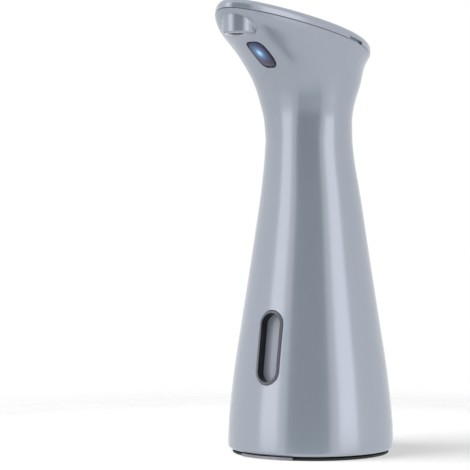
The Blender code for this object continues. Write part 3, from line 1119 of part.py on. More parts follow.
def base():
    """The bayonet base cap, its rubber foot and the foam that holds the cells up."""
    axis = frame("base_axis", (0, 0, 0))
    plate_bottom = PAD_THICKNESS + GAP
    plate_top = plate_bottom + CAP_PLATE
    skirt_top = plate_top + CAP_SKIRT_HEIGHT
    inner = CAP_SKIRT_RADIUS - CAP_SKIRT_WALL
    cap = turned("base_cap", [(0, plate_top), (inner, plate_top), (inner, skirt_top), (CAP_SKIRT_RADIUS, skirt_top),
                              (CAP_SKIRT_RADIUS, plate_bottom), (0, plate_bottom)], sides=HOUSING_SEGMENTS, parent=axis,
                 finish="housing_plastic")
    lug_bottom = BASE_EDGE + LIP_HEIGHT + GAP
    for i in range(LUG_COUNT):
        centre = math.pi / 2 + 2 * math.pi * i / LUG_COUNT
        join(cap, plate(f"lug_{i + 1}", [sector(CAP_SKIRT_RADIUS - CAP_SKIRT_WALL / 2, CAP_SKIRT_RADIUS + LUG_REACH,
                                                LUG_HALF_ANGLE, centre)], lug_bottom, lug_bottom + LUG_HEIGHT,
                        parent=axis))
    pad = plate("foot_pad", [circle(PAD_RADIUS, count=HOUSING_SEGMENTS)], 0, PAD_THICKNESS, parent=axis,
                finish="black_rubber")
    tab_inner = CAP_SKIRT_RADIUS - CAP_SKIRT_WALL / 2
    for name, centre in (("front", -math.pi / 2), ("rear", math.pi / 2)):
        join(cap, plate(f"{name}_tab", [sector(tab_inner, CAP_TAB_RADIUS, CAP_TAB_HALF_ANGLE, centre)],
                        CAP_TAB_LIFT, BASE_EDGE - GAP, parent=axis))
        tab_middle = (CAP_TAB_LIFT + BASE_EDGE - GAP) / 2
        join(cap, plate(f"{name}_tab_root", [sector(tab_inner + GAP, CAP_SKIRT_RADIUS - GAP,
                                                    CAP_TAB_HALF_ANGLE * TAB_ROOT_SHARE, centre)],
                        tab_middle, (plate_bottom + plate_top) / 2, parent=axis))
        clearance = GAP / tab_inner
        cut(pad, plate(f"{name}_pad_notch", [sector(tab_inner - GAP, BASE_RADIUS, CAP_TAB_HALF_ANGLE + clearance,
                                                    centre)], -OVERRUN, OVERRUN, parent=axis))
    foam = CELL_PITCH * CELL_COUNT / 2 - HOLDER_RIB
    foam_side = foam * FOAM_WIDTH_SHARE
    box("cell_foam", (-foam, -foam_side, plate_top + GAP), (foam, foam_side, CELL_BOTTOM - GAP), parent=axis,
        finish="black_rubber")


def lid_ring(height, inset, share=1.0):
    """Return one ring of the lid in the plane of the seam, drawn in or scaled about its middle."""
    middle = (HEAD_REAR - NOSE_REACH) / 2 / math.cos(SEAM_TILT)
    return [(x * share, middle + (y - middle) * share, height) for x, y in seam_outline(inset)]


def lid():
    """The lift-off lid: a low dome with a rounded edge, hollow below, with its plug."""
    shoulder = LID_EDGE_HEIGHT - LID_ROUND
    rings = [lid_ring(GAP, 0)]
    for i in range(LID_ROUND_STEPS + 1):
        turn = math.pi / 2 * i / LID_ROUND_STEPS
        rings.append(lid_ring(shoulder + LID_ROUND * math.sin(turn), LID_ROUND * (1 - math.cos(turn))))
    rings += [lid_ring(LID_EDGE_HEIGHT + LID_DOME * (1 - share * share), LID_ROUND, share) for share in LID_DOME_SHARES]
    top = loft("top_lid", rings, parent=HEAD, finish="housing_plastic")
    inner = [lid_ring(-OVERRUN, LID_RIM), lid_ring(GAP, LID_RIM), lid_ring(LID_CEILING, LID_RIM + LID_CEILING / 2)]
    cut(top, loft("lid_hollow", inner, parent=HEAD))
    boss_bottom = PLUG_TOP + GAP
    join(top, cylinder("plug_boss", PLUG_BOSS_RADIUS, boss_bottom, LID_EDGE_HEIGHT, y=NECK_CENTRE_Y, parent=HEAD))
    button_y = -BUTTON_REACH / math.cos(SEAM_TILT)
    cut(top, cylinder("button_hole", BUTTON_RADIUS + GAP, 0, LID_EDGE_HEIGHT + OVERRUN, y=button_y, sides=32,
                      parent=HEAD))
    turn = math.acos((2 * NOTCH_REACH - NOSE_REACH + HEAD_REAR) / (NOSE_REACH + HEAD_REAR))
    side = section_point(SEAM_HEIGHT, turn)[1]
    y = -NOTCH_REACH / math.cos(SEAM_TILT)
    for name, sign in (("left", -1), ("right", 1)):
        xs = sorted((sign * (side - NOTCH_DEPTH), sign * (side + OVERRUN)))
        cut(top, box(f"{name}_notch", (xs[0], y - NOTCH_LENGTH / 2, 0),
                     (xs[1], y + NOTCH_LENGTH / 2, GAP + NOTCH_HEIGHT), parent=HEAD))

    outer = FILL_RADIUS - GAP
    profile = [(0, PLUG_TOP), (outer, PLUG_TOP), (outer, -PLUG_DEPTH), (outer - PLUG_WALL, -PLUG_DEPTH),
               (outer - PLUG_WALL, PLUG_TOP - PLUG_WALL), (0, PLUG_TOP - PLUG_WALL)]
    turned("fill_plug", profile, sides=28, parent=HEAD, finish="black_rubber", location=(0, NECK_CENTRE_Y, 0))

    flange_top = LID_CEILING - GAP
    rim = LID_EDGE_HEIGHT + LID_DOME / 2
    profile = [(0, rim + BUTTON_DOME), (BUTTON_RADIUS / 2, rim + BUTTON_DOME * 3 / 4), (BUTTON_RADIUS, rim),
               (BUTTON_RADIUS, flange_top), (BUTTON_RADIUS + BUTTON_FLANGE, flange_top),
               (BUTTON_RADIUS + BUTTON_FLANGE, BUTTON_BOTTOM), (0, BUTTON_BOTTOM)]
    turned("power_button", profile, sides=24, parent=HEAD, finish="housing_plastic", location=(0, button_y, 0))


body_shell()
level_window()
sensor()
nozzle()
head_deck()
tank()
tubes()
pump()
motor()
battery_bay()
base()
lid()
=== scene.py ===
"""An automatic soap dispenser with a goose-neck housing, dressed over its CAD frame.

Metres, +Z up, nose toward -Y, floor at zero. The housing, lid, button, lens, level window,
spout and foot are worked out as surfaces from named sizes. These are the solids' own but for
the lid's height, the lens's outline, the boss's flare and the level window's rim. The
mechanism inside keeps its solids and gets finishes.
"""

import logging
import math
from dataclasses import dataclass
from enum import Enum
from typing import Any, Sequence

import bpy
import numpy as np
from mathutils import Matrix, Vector


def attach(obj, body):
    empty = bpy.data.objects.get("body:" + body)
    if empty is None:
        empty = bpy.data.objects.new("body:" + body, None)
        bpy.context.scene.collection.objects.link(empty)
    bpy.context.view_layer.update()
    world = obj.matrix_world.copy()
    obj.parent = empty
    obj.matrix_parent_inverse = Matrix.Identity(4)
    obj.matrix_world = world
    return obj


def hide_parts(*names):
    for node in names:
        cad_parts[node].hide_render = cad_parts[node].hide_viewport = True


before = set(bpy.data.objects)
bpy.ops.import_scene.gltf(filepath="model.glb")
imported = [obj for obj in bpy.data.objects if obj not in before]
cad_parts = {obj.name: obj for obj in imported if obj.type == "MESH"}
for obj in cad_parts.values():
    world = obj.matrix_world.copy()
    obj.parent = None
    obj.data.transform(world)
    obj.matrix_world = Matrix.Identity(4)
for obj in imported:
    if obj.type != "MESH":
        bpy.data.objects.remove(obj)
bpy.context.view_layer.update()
LOG = logging.getLogger("soap_dispenser")

Pairs = Sequence[tuple[float, float]]
Colour = tuple[float, float, float]

# The clearance between neighbours, and how far a cutter reaches past what it cuts.
GAP = 0.0003
OVERRUN = 0.004


# ---------------------------------------------------------------- shapes


def smooth_curve(pairs: Pairs, places: np.ndarray) -> np.ndarray:
    """Read a smooth curve through pairs, without overshoot.

    Cubic pieces between the pairs; the slope at a pair is the harmonic mean of the rises on
    its two sides, or zero where they point opposite ways.

    Args:
        pairs: Place and value of each point of the curve, in rising order of place.
        places: Where the curve is read; beyond the ends it keeps the end's value.

    Returns:
        The curve's values, in the shape of places.
    """
    xs, ys = np.array(pairs, float).T
    widths = np.diff(xs)
    rises = np.diff(ys) / widths
    before, after = rises[:-1], rises[1:]
    same = before * after > 0
    middle = np.where(same, 2 * before * after / np.where(same, before + after, 1.0), 0.0)
    slopes = np.concatenate(([rises[0]], middle, [rises[-1]]))
    places = np.clip(places, xs[0], xs[-1])
    i = np.clip(np.searchsorted(xs, places, side="right") - 1, 0, len(widths) - 1)
    t = (places - xs[i]) / widths[i]
    return ((1 + 2 * t) * (1 - t) ** 2 * ys[i] + t * (1 - t) ** 2 * widths[i] * slopes[i]
            + t * t * (3 - 2 * t) * ys[i + 1] + t * t * (t - 1) * widths[i] * slopes[i + 1])


@dataclass(frozen=True)
class Placement:
    """A frame that a shape is worked out in: an origin and a turn about the X axis."""

    origin: tuple[float, float, float] = (0.0, 0.0, 0.0)
    tilt: float = 0.0

    def place(self, points: np.ndarray) -> np.ndarray:
        """Carry points from this frame to the model's: turned about X, then shifted."""
        cosine, sine = math.cos(self.tilt), math.sin(self.tilt)
        x, y, z = np.moveaxis(points, -1, 0)
        turned = np.stack((x, cosine * y - sine * z, sine * y + cosine * z), axis=-1)
        return turned + np.array(self.origin)


WORLD = Placement()


def skin(name: str, rings: np.ndarray, poles: bool = True, looped: bool = False) -> bpy.types.Mesh:
    """Make a mesh over a stack of closed rings.

    Faces join each ring to the next. A ring that runs counterclockwise seen from the side the
    stack climbs to gives faces that point out.

    Args:
        name: The mesh's name.
        rings: Array of rings by points by three coordinates.
        poles: Whether the first and the last ring are closed by a fan about their middle.
        looped: Whether the last ring joins the first, as round a hoop.

    Returns:
        The mesh, smooth but for its sharp edges.
    """
    rows, columns = rings.shape[:2]
    index = np.arange(rows * columns).reshape(rows, columns)
    lower = index if looped else index[:-1]
    upper = np.roll(index, -1, axis=0) if looped else index[1:]
    quads = np.stack((lower, np.roll(lower, -1, axis=1), np.roll(upper, -1, axis=1), upper), axis=-1)
    faces = quads.reshape(-1, 4).tolist()
    points = rings.reshape(-1, 3)
    if poles and not looped:
        middles = np.stack((rings[0].mean(axis=0), rings[-1].mean(axis=0)))
        first, last = len(points), len(points) + 1
        points = np.concatenate((points, middles))
        near, far = index[0], index[-1]
        faces += np.stack((np.full(columns, first), np.roll(near, -1), near), axis=-1).tolist()
        faces += np.stack((np.full(columns, last), far, np.roll(far, -1)), axis=-1).tolist()
    mesh = bpy.data.meshes.new(name)
    mesh.from_pydata(points.tolist(), [], faces)
    soften(mesh)
    return mesh


def soften(mesh: bpy.types.Mesh, angle: float = 32.0) -> None:
    """Shade a mesh smooth, with its edges sharper than an angle in degrees left sharp."""
    mesh.shade_smooth()
    mesh.set_sharp_from_angle(angle=math.radians(angle))


def turns(count: int) -> np.ndarray:
    """Give evenly spaced angles round a full turn."""
    return np.arange(count) * (2 * math.pi / count)


def turned_rings(profile: Pairs, count: int, place: Placement = WORLD) -> np.ndarray:
    """Turn a profile about the Z axis of a frame.

    Each point of the profile gives a ring: radius times cosine and sine of the turn, at the
    point's height.

    Args:
        profile: Radius and height of each ring, up the outer side.
        count: Points in a ring.
        place: The frame.

    Returns:
        The rings in the model's frame.
    """
    radius, height = np.array(profile, float).T
    turn = turns(count)
    x, y = radius[:, None] * np.cos(turn), radius[:, None] * np.sin(turn)
    z = np.broadcast_to(height[:, None], x.shape)
    return place.place(np.stack((x, y, z), axis=-1))


def at_height(outline: np.ndarray, height: float | np.ndarray) -> np.ndarray:
    """Give a flat outline its third coordinate: one height, or one for each point."""
    return np.column_stack((outline, np.broadcast_to(height, len(outline))))


def prism_rings(outline: np.ndarray, heights: Sequence[float], place: Placement = WORLD) -> np.ndarray:
    """Carry a flat outline through heights of a frame, one ring for each."""
    return place.place(np.stack([at_height(outline, height) for height in heights]))


def slot_outline(width: float, length: float, count: int = 96) -> np.ndarray:
    """Give an upright outline with round ends: two half circles joined by straight sides."""
    radius, straight = width / 2, length - width
    arc = math.pi * radius
    run = np.arange(count) * (2 * (arc + straight) / count)
    side, along = np.divmod(run, arc + straight)
    turn = np.minimum(along, arc) / radius
    x = radius * np.cos(turn)
    y = straight / 2 + radius * np.sin(turn) - np.maximum(along - arc, 0)
    sign = np.where(side > 0, -1.0, 1.0)
    return np.column_stack((sign * x, sign * y))


def rounded_corner(start: tuple[float, float], end: tuple[float, float], corner: tuple[float, float],
                   steps: int = 6) -> list[tuple[float, float]]:
    """Give points of a quarter round between two profile points that share a corner.

    The round is the ellipse that is tangent to both sides of the corner.
    """
    turn = np.linspace(0, math.pi / 2, steps + 1)
    begin, finish, apex = (np.array(point) for point in (start, end, corner))
    points = (apex + (begin - apex) * (1 - np.sin(turn))[:, None]
              + (finish - apex) * (1 - np.cos(turn))[:, None])
    return [tuple(point) for point in points]


def tube_rings(route: np.ndarray, radius: float, count: int) -> np.ndarray:
    """Carry a circle along a route: each ring stands square to the route's run there."""
    runs = np.gradient(route, axis=0)
    runs /= np.linalg.norm(runs, axis=1)[:, None]
    helper = np.where(np.abs(runs[:, 2:3]) > 0.9, [[1.0, 0.0, 0.0]], [[0.0, 0.0, 1.0]])
    across = np.cross(helper, runs)
    across /= np.linalg.norm(across, axis=1)[:, None]
    up = np.cross(runs, across)
    turn = turns(count)
    return (route[:, None] + radius * (np.cos(turn)[None, :, None] * across[:, None]
                                       + np.sin(turn)[None, :, None] * up[:, None]))


def show(name: str, data: bpy.types.ID) -> bpy.types.Object:
    """Link a new object at the origin for a mesh, a light or a camera."""
    made = bpy.data.objects.new(name, data)
    bpy.context.scene.collection.objects.link(made)
    return made


def shaped(name: str, rings: np.ndarray, **options: bool) -> bpy.types.Object:
    """Link a new object for the mesh over a stack of rings, with skin's options."""
    return show(name, skin(name, rings, **options))


def carve(piece: bpy.types.Object, steps: Sequence[tuple[str, bpy.types.Mesh]]) -> None:
    """Join meshes to a piece or cut them out of it, in order, and settle the result in its mesh.

    Args:
        piece: The piece; modifiers it already has come first.
        steps: Pairs of "UNION" or "DIFFERENCE" and the mesh that is joined or cut out.
    """
    tools = []
    for operation, mesh in steps:
        tool = show(mesh.name, mesh)
        tools.append(tool)
        modifier = piece.modifiers.new(mesh.name, "BOOLEAN")
        modifier.operation = operation
        modifier.object = tool
        modifier.solver = "EXACT"
    settle(piece)
    for tool in tools:
        bpy.data.objects.remove(tool, do_unlink=True)


def settle(piece: bpy.types.Object) -> None:
    """Put what a piece's modifiers make into its own mesh and clear them."""
    bpy.context.view_layer.update()
    worked = piece.evaluated_get(bpy.context.evaluated_depsgraph_get())
    mesh = bpy.data.meshes.new_from_object(worked)
    mesh.name = piece.name
    piece.modifiers.clear()
    piece.data = mesh
    soften(mesh)


# ---------------------------------------------------------------- finishes


class Nodes:
    """Adds nodes to one tree and joins them as they are added."""

    def __init__(self, tree: bpy.types.NodeTree) -> None:
        """Keep the tree."""
        self.tree = tree

    def give(self, socket: bpy.types.NodeSocket, value: Any) -> None:
        """Give an input its value: a socket is linked, a plain value is set, opaque if a colour."""
        if isinstance(value, bpy.types.NodeSocket):
            self.tree.links.new(value, socket)
        else:
            socket.default_value = (*value, 1.0) if socket.type == "RGBA" else value

    def feed(self, node: bpy.types.Node, **named: Any) -> None:
        """Give inputs of a node by name, with _ for a space."""
        for key, value in named.items():
            self.give(node.inputs[key.replace("_", " ")], value)

    def add(self, kind: str, *values: Any, options: dict[str, Any] | None = None,
            **named: Any) -> bpy.types.Node:
        """Add a node.

        Args:
            kind: The node's type name without its "ShaderNode".
            values: Inputs in order.
            options: The node's own settings.
            named: Inputs by name, with _ for a space.

        Returns:
            The node.
        """
        node = self.tree.nodes.new("ShaderNode" + kind)
        for key, value in (options or {}).items():
            setattr(node, key, value)
        for socket, value in zip(node.inputs, values):
            self.give(socket, value)
        self.feed(node, **named)
        return node

    def maths(self, operation: str, *values: Any, clamp: bool = False) -> bpy.types.NodeSocket:
        """Add a Math node and give its output."""
        return self.add("Math", *values, options={"operation": operation, "use_clamp": clamp}).outputs[0]

    def product(self, *values: Any, clamp: bool = False) -> bpy.types.NodeSocket:
        """Multiply two or more values and give the result."""
        first, *rest, last = values
        for value in rest:
            first = self.maths("MULTIPLY", first, value)
        return self.maths("MULTIPLY", first, last, clamp=clamp)

    def share(self, value: Any, low: float, high: float, kind: str = "LINEAR") -> bpy.types.NodeSocket:
        """Give how far a value has come from low to high, from 0 to 1."""
        mapped = self.add("MapRange", value, low, high, 0.0, 1.0, options={"interpolation_type": kind})
        return mapped.outputs[0]

    def here(self) -> bpy.types.NodeSocket:
        """Give the place on the object."""
        return self.add("TexCoord").outputs["Object"]

    def within(self, place: Placement) -> Sequence[bpy.types.NodeSocket]:
        """Give the three coordinates of the place on the object in a frame."""
        local = self.add("Mapping", Vector=self.here(), Location=place.origin, Rotation=(place.tilt, 0, 0),
                         options={"vector_type": "TEXTURE"})
        return self.add("SeparateXYZ", local.outputs[0]).outputs

    def length(self, vector: bpy.types.NodeSocket) -> bpy.types.NodeSocket:
        """Give a vector's length."""
        return self.add("VectorMath", vector, options={"operation": "LENGTH"}).outputs["Value"]

    def noise(self, place: bpy.types.NodeSocket, scale: Any, detail: float) -> bpy.types.NodeSocket:
        """Add noise at a place and give its value."""
        return self.add("TexNoise", Vector=place, Scale=scale, Detail=detail).outputs[0]

    def bump(self, height: bpy.types.NodeSocket, depth: float) -> bpy.types.NodeSocket:
        """Give the normal that a height makes over a depth in metres."""
        return self.add("Bump", Height=height, Distance=depth, Strength=1.0).outputs[0]

    def ramp(self, value: Any, stops: Sequence[tuple[float, Colour]]) -> bpy.types.NodeSocket:
        """Add a colour ramp with its stops and give its colour."""
        node = self.add("ValToRGB", value)
        band = node.color_ramp
        while len(band.elements) < len(stops):
            band.elements.new(0.5)
        for element, (place, colour) in zip(band.elements, stops):
            element.position = place
            element.color = (*colour, 1.0)
        return node.outputs[0]

    def blend(self, share: Any, first: Any, second: Any) -> bpy.types.NodeSocket:
        """Mix two colours by a share and give the result."""
        node = self.add("Mix", share, options={"data_type": "RGBA"})
        self.give(node.inputs[6], first)
        self.give(node.inputs[7], second)
        return node.outputs[2]

    def grain(self, **named: Any) -> bpy.types.NodeOutputs:
        """Place the moulded grain's group with its inputs and give its outputs."""
        return self.add("Group", options={"node_tree": EFFECTS.grain}, **named).outputs

    def mask(self, tree: bpy.types.NodeTree, amount: float) -> bpy.types.NodeSocket:
        """Place a mask's group by its amount and give the mask."""
        return self.add("Group", options={"node_tree": tree}, Amount=amount).outputs[0]


def new_group(name: str, inputs: dict[str, Any],
              outputs: dict[str, str]) -> tuple[Nodes, bpy.types.NodeOutputs, bpy.types.Node]:
    """Start a shader node group.

    Args:
        name: The group's name.
        inputs: Name and default of each input; a float gives a value, a tuple a colour.
        outputs: Name and socket type of each output.

    Returns:
        The group's nodes, its input node's outputs and its output node.
    """
    tree = bpy.data.node_groups.new(name, "ShaderNodeTree")
    for key, value in inputs.items():
        kind = "NodeSocketFloat" if isinstance(value, float) else "NodeSocketColor"
        socket = tree.interface.new_socket(key, in_out="INPUT", socket_type=kind)
        socket.default_value = value if isinstance(value, float) else (*value, 1.0)
    for key, kind in outputs.items():
        tree.interface.new_socket(key, in_out="OUTPUT", socket_type=kind)
    start, end = tree.nodes.new("NodeGroupInput"), tree.nodes.new("NodeGroupOutput")
    return Nodes(tree), start.outputs, end


def new_material(name: str) -> tuple[bpy.types.Material, Nodes, bpy.types.Node]:
    """Start a node material and give it, its nodes and its Principled shader."""
    material = bpy.data.materials.new(name)
    material.use_nodes = True
    return material, Nodes(material.node_tree), material.node_tree.nodes["Principled BSDF"]


class Effects:
    """The shader node groups that the finishes share, each built once."""

    def __init__(self) -> None:
        """Build the groups: grain, dust on faces that look up, and pale rubbed edges."""
        self.grain = self.moulded_grain()
        self.dust = self.broken_mask("settled_dust", "Normal", span=(0.2, 1.0), patches=(420.0, 5.0),
                                     gaps=(0.42, 0.68))
        self.rub = self.broken_mask("rubbed_edges", "Pointiness", span=(0.53, 0.62), patches=(900.0, 3.0),
                                    gaps=(0.35, 0.6))

    @staticmethod
    def moulded_grain() -> bpy.types.NodeTree:
        """Moulded grain: a fine pebble with slow clouds of tone and of gloss."""
        nodes, given, end = new_group(
            "moulded_grain",
            {"Colour": (0.5, 0.5, 0.5), "Tone Spread": 0.05, "Gloss": 0.3, "Gloss Spread": 0.05,
             "Grain Size": 0.0004, "Cloud Size": 0.02},
            {"Colour": "NodeSocketColor", "Roughness": "NodeSocketFloat", "Height": "NodeSocketFloat"})
        place = nodes.here()
        fine = nodes.noise(place, nodes.maths("DIVIDE", 1.0, given["Grain Size"]), 2.0)
        cloud = nodes.noise(place, nodes.maths("DIVIDE", 1.0, given["Cloud Size"]), 4.0)
        swing = nodes.maths("SUBTRACT", cloud, 0.5)
        tone = nodes.maths("MULTIPLY_ADD", swing, given["Tone Spread"], 1.0)
        shade = nodes.add("HueSaturation", Color=given["Colour"], Value=tone).outputs[0]
        speckle = nodes.product(nodes.maths("SUBTRACT", fine, 0.5), 0.5)
        mottle = nodes.maths("ADD", swing, speckle)
        gloss = nodes.maths("MULTIPLY_ADD", mottle, given["Gloss Spread"], given["Gloss"])
        nodes.feed(end, Colour=shade, Roughness=gloss, Height=fine)
        return nodes.tree

    @staticmethod
    def broken_mask(name: str, source: str, span: tuple[float, float], patches: tuple[float, float],
                    gaps: tuple[float, float]) -> bpy.types.NodeTree:
        """A mask where a reading of the geometry is high, broken by noise.

        Args:
            name: The group's name.
            source: The reading: "Pointiness", or "Normal" for how far a face looks up.
            span: The reading at which the mask starts and at which it is full.
            patches: Scale and detail of the noise.
            gaps: The noise at which the mask starts and at which it is full.
        """
        nodes, given, end = new_group(name, {"Amount": 0.0}, {"Mask": "NodeSocketFloat"})
        reading = nodes.add("NewGeometry").outputs[source]
        if source == "Normal":
            reading = nodes.add("SeparateXYZ", reading).outputs["Z"]
        broken = nodes.share(nodes.noise(nodes.here(), *patches), *gaps)
        nodes.feed(end, Mask=nodes.product(nodes.share(reading, *span), broken, given["Amount"], clamp=True))
        return nodes.tree


EFFECTS = Effects()
DUST_COLOUR = (0.55, 0.54, 0.52)
COPPER_COLOUR = (0.30, 0.26, 0.12)


@dataclass(frozen=True)
class Plastic:
    """A moulded plastic or rubber: grain, clouds of tone, rubbed edges and a trace of dust.

    Attributes:
        name: The material's name.
        colour: Its colour, linear.
        gloss: Roughness.
        gloss_spread: How far the roughness wanders.
        tone_spread: How far the tone wanders.
        grain: Size of the grain.
        depth: Height of the grain.
        coat: Weight of the clear coat.
        rub: How much paler its edges are.
        dust: How much dust lies on faces that look up.
        clear: How much light goes through.
        metal: Share of metal flake in the paint.
        shine: Level of the mirror-like part of the plastic's own gloss.
    """

    name: str
    colour: Colour
    gloss: float = 0.35
    gloss_spread: float = 0.08
    tone_spread: float = 0.05
    grain: float = 0.0004
    depth: float = 0.000004
    coat: float = 0.0
    rub: float = 0.15
    dust: float = 0.04
    clear: float = 0.0
    metal: float = 0.0
    shine: float = 0.5

    def build(self) -> bpy.types.Material:
        """Build the material."""
        material, nodes, shader = new_material(self.name)
        grain = nodes.grain(Colour=self.colour, Tone_Spread=self.tone_spread, Gloss=self.gloss,
                            Gloss_Spread=self.gloss_spread, Grain_Size=self.grain)
        dust = nodes.mask(EFFECTS.dust, self.dust)
        pale = tuple(0.55 * part + 0.4 for part in self.colour)
        rubbed = nodes.blend(nodes.mask(EFFECTS.rub, self.rub), grain["Colour"], pale)
        nodes.feed(shader, Base_Color=nodes.blend(dust, rubbed, DUST_COLOUR),
                   Roughness=nodes.maths("MULTIPLY_ADD", dust, 0.5, grain["Roughness"], clamp=True),
                   Normal=nodes.bump(grain["Height"], self.depth), Coat_Weight=self.coat,
                   Coat_Roughness=self.gloss * 0.8, Transmission_Weight=self.clear, Metallic=self.metal,
                   Specular_IOR_Level=self.shine)
        return material


@dataclass(frozen=True)
class Metal:
    """A bare metal: fine drawn lines along one axis and clouds of tarnish.

    Attributes:
        name: The material's name.
        colour: Its colour, linear.
        gloss: Roughness.
        lines: Repeats of the drawn lines in a metre, across X, Y and Z.
        tarnish: How much darker its clouds are.
    """

    name: str
    colour: Colour
    gloss: float = 0.3
    lines: tuple[float, float, float] = (400.0, 400.0, 9000.0)
    tarnish: float = 0.25

    def build(self) -> bpy.types.Material:
        """Build the material."""
        material, nodes, shader = new_material(self.name)
        drawn = nodes.add("Mapping", Vector=nodes.here(), Scale=self.lines).outputs[0]
        lines = nodes.noise(drawn, 1.0, 3.0)
        grain = nodes.grain(Colour=self.colour, Tone_Spread=self.tarnish, Gloss=self.gloss, Gloss_Spread=0.15,
                            Grain_Size=0.0008, Cloud_Size=0.006)
        bright = tuple(min(part * 1.35, 1.0) for part in self.colour)
        nodes.feed(shader, Base_Color=nodes.blend(nodes.mask(EFFECTS.rub, 0.5), grain["Colour"], bright),
                   Roughness=nodes.maths("MULTIPLY_ADD", lines, 0.12, grain["Roughness"], clamp=True),
                   Normal=nodes.bump(lines, depth=0.000006), Metallic=1.0)
        return material


@dataclass(frozen=True)
class Bands:
    """A finish in bands of colour along one axis, such as a cell's jacket or a circuit board.

    Attributes:
        name: The material's name.
        axis: 0, 1 or 2: the axis that the bands follow.
        start: Where the bands start on it.
        run: How far they go.
        stops: Share of the run and colour of each band's start.
        gloss: Roughness.
        traces: How strongly a fine square pattern of copper shows.
    """

    name: str
    axis: int
    start: float
    run: float
    stops: tuple[tuple[float, Colour], ...]
    gloss: float = 0.35
    traces: float = 0.0

    def build(self) -> bpy.types.Material:
        """Build the material."""
        material, nodes, shader = new_material(self.name)
        place = nodes.here()
        along = nodes.add("SeparateXYZ", place).outputs[self.axis]
        stops = [stop for at, colour in self.stops for stop in ((at, colour), (at, colour))][1:]
        marks = [(max(at - 0.004, 0.0) if i % 2 else at, stops[max(i - 1, 0)][1] if i % 2 else colour)
                 for i, (at, colour) in enumerate(stops)]
        banded = nodes.ramp(nodes.share(along, self.start, self.start + self.run), marks)
        cells = nodes.add("TexBrick", Vector=place, Scale=520.0, Color1=(0.35, 0.35, 0.35),
                          Color2=(0.0, 0.0, 0.0), Mortar=(1.0, 1.0, 1.0), Mortar_Size=0.03).outputs[1]
        traced = nodes.blend(nodes.product(cells, self.traces), banded, COPPER_COLOUR)
        grain = nodes.grain(Colour=traced, Tone_Spread=0.12, Gloss=self.gloss, Gloss_Spread=0.1,
                            Grain_Size=0.0006)
        nodes.feed(shader, Base_Color=grain["Colour"], Roughness=grain["Roughness"],
                   Normal=nodes.bump(grain["Height"], depth=0.000005))
        return material


@dataclass(frozen=True)
class GlowingLens:
    """The sensor's dark lens, lit blue from behind at one place.

    Attributes:
        name: The material's name.
        place: The lens's frame; the glow is measured in it.
        centre: The glow's middle in that frame.
        reach: How far the glow goes along the frame's first and second axis.
        strength: Strength of the glow at its middle.
    """

    name: str
    place: Placement
    centre: tuple[float, float]
    reach: tuple[float, float]
    strength: float

    def build(self) -> bpy.types.Material:
        """Build the material: rings of colour by the distance from the glow's middle."""
        material, nodes, shader = new_material(self.name)
        x, y = (nodes.maths("DIVIDE", nodes.maths("SUBTRACT", part, middle), reach)
                for part, middle, reach in zip(nodes.within(self.place), self.centre, self.reach))
        square = nodes.maths("ADD", nodes.product(x, x), nodes.product(y, y))
        away = nodes.maths("POWER", square, 0.5, clamp=True)
        glow = nodes.ramp(away, [(0.0, (0.50, 0.78, 1.0)), (0.12, (0.28, 0.55, 0.85)),
                                 (0.3, (0.08, 0.19, 0.38)), (0.55, (0.03, 0.06, 0.14)),
                                 (0.8, (0.012, 0.014, 0.05)), (1.0, (0.004, 0.004, 0.015))])
        grain = nodes.grain(Colour=(0.008, 0.006, 0.018), Tone_Spread=0.1, Gloss=0.08, Gloss_Spread=0.04)
        nodes.feed(shader, Base_Color=grain["Colour"], Roughness=grain["Roughness"], Emission_Color=glow,
                   Emission_Strength=self.strength)
        return material


@dataclass(frozen=True)
class RimWithPaintedShadeWall:
    """A grey slot-shaped rim whose inner wall is painted near black: painted shade for the deep recess.

    Attributes:
        name: The material's name.
        place: The rim's frame; the slot runs along its second axis.
        colour: Colour of the rim, linear.
        wall: Colour of the wall, near black: painted shade for the recess.
        straight: Half the length of the slot's straight sides.
        inner: Half the width of the slot's opening.
        border: How far past the opening the rim's colour starts and is full.
    """

    name: str
    place: Placement
    colour: Colour
    wall: Colour
    straight: float
    inner: float
    border: tuple[float, float] = (0.00005, 0.00015)

    def build(self) -> bpy.types.Material:
        """Build the material: the wall's painted shade holds up to the opening's width.

        A point's distance from the slot's middle line is the length of (x, max(|y| - straight, 0)).
        """
        material, nodes, shader = new_material(self.name)
        across, along = nodes.within(self.place)[:2]
        past = nodes.maths("SUBTRACT", nodes.maths("ABSOLUTE", along), self.straight)
        offset = nodes.add("CombineXYZ", across, nodes.maths("MAXIMUM", past, 0.0), 0.0).outputs[0]
        # Near the opening the wall takes its painted shade; past the border the rim keeps its own grey.
        away = nodes.share(nodes.length(offset), *(self.inner + past for past in self.border))
        grain = nodes.grain(Colour=nodes.blend(away, self.wall, self.colour), Tone_Spread=0.05, Gloss=0.3,
                            Gloss_Spread=0.06)
        nodes.feed(shader, Base_Color=grain["Colour"], Roughness=grain["Roughness"],
                   Normal=nodes.bump(grain["Height"], depth=0.000003))
        return material


class Slot(Enum):
    """The names of the record's material slots that match the new pieces."""

    HOUSING = "housing_plastic"
    DARK = "dark_plastic"
    RIM = "rim_plastic"
    PANE = "clear_grey"
    LENS = "smoked_lens"
    RUBBER = "black_rubber"


def dress(piece: bpy.types.Object, material: bpy.types.Material) -> None:
    """Give a piece one material in every slot it has."""
    if not piece.material_slots:
        piece.data.materials.append(material)
    for slot in piece.material_slots:
        slot.material = material


def stand_for(piece: bpy.types.Object, body: str, nodes: Sequence[str],
              material: bpy.types.Material) -> None:
    """Let a piece ride on a body in place of CAD nodes and a material."""
    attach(piece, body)
    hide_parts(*nodes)
    dress(piece, material)
    LOG.info("piece %s stands for %s", piece.name, ", ".join(nodes))


# ---------------------------------------------------------------- the housing and its lid


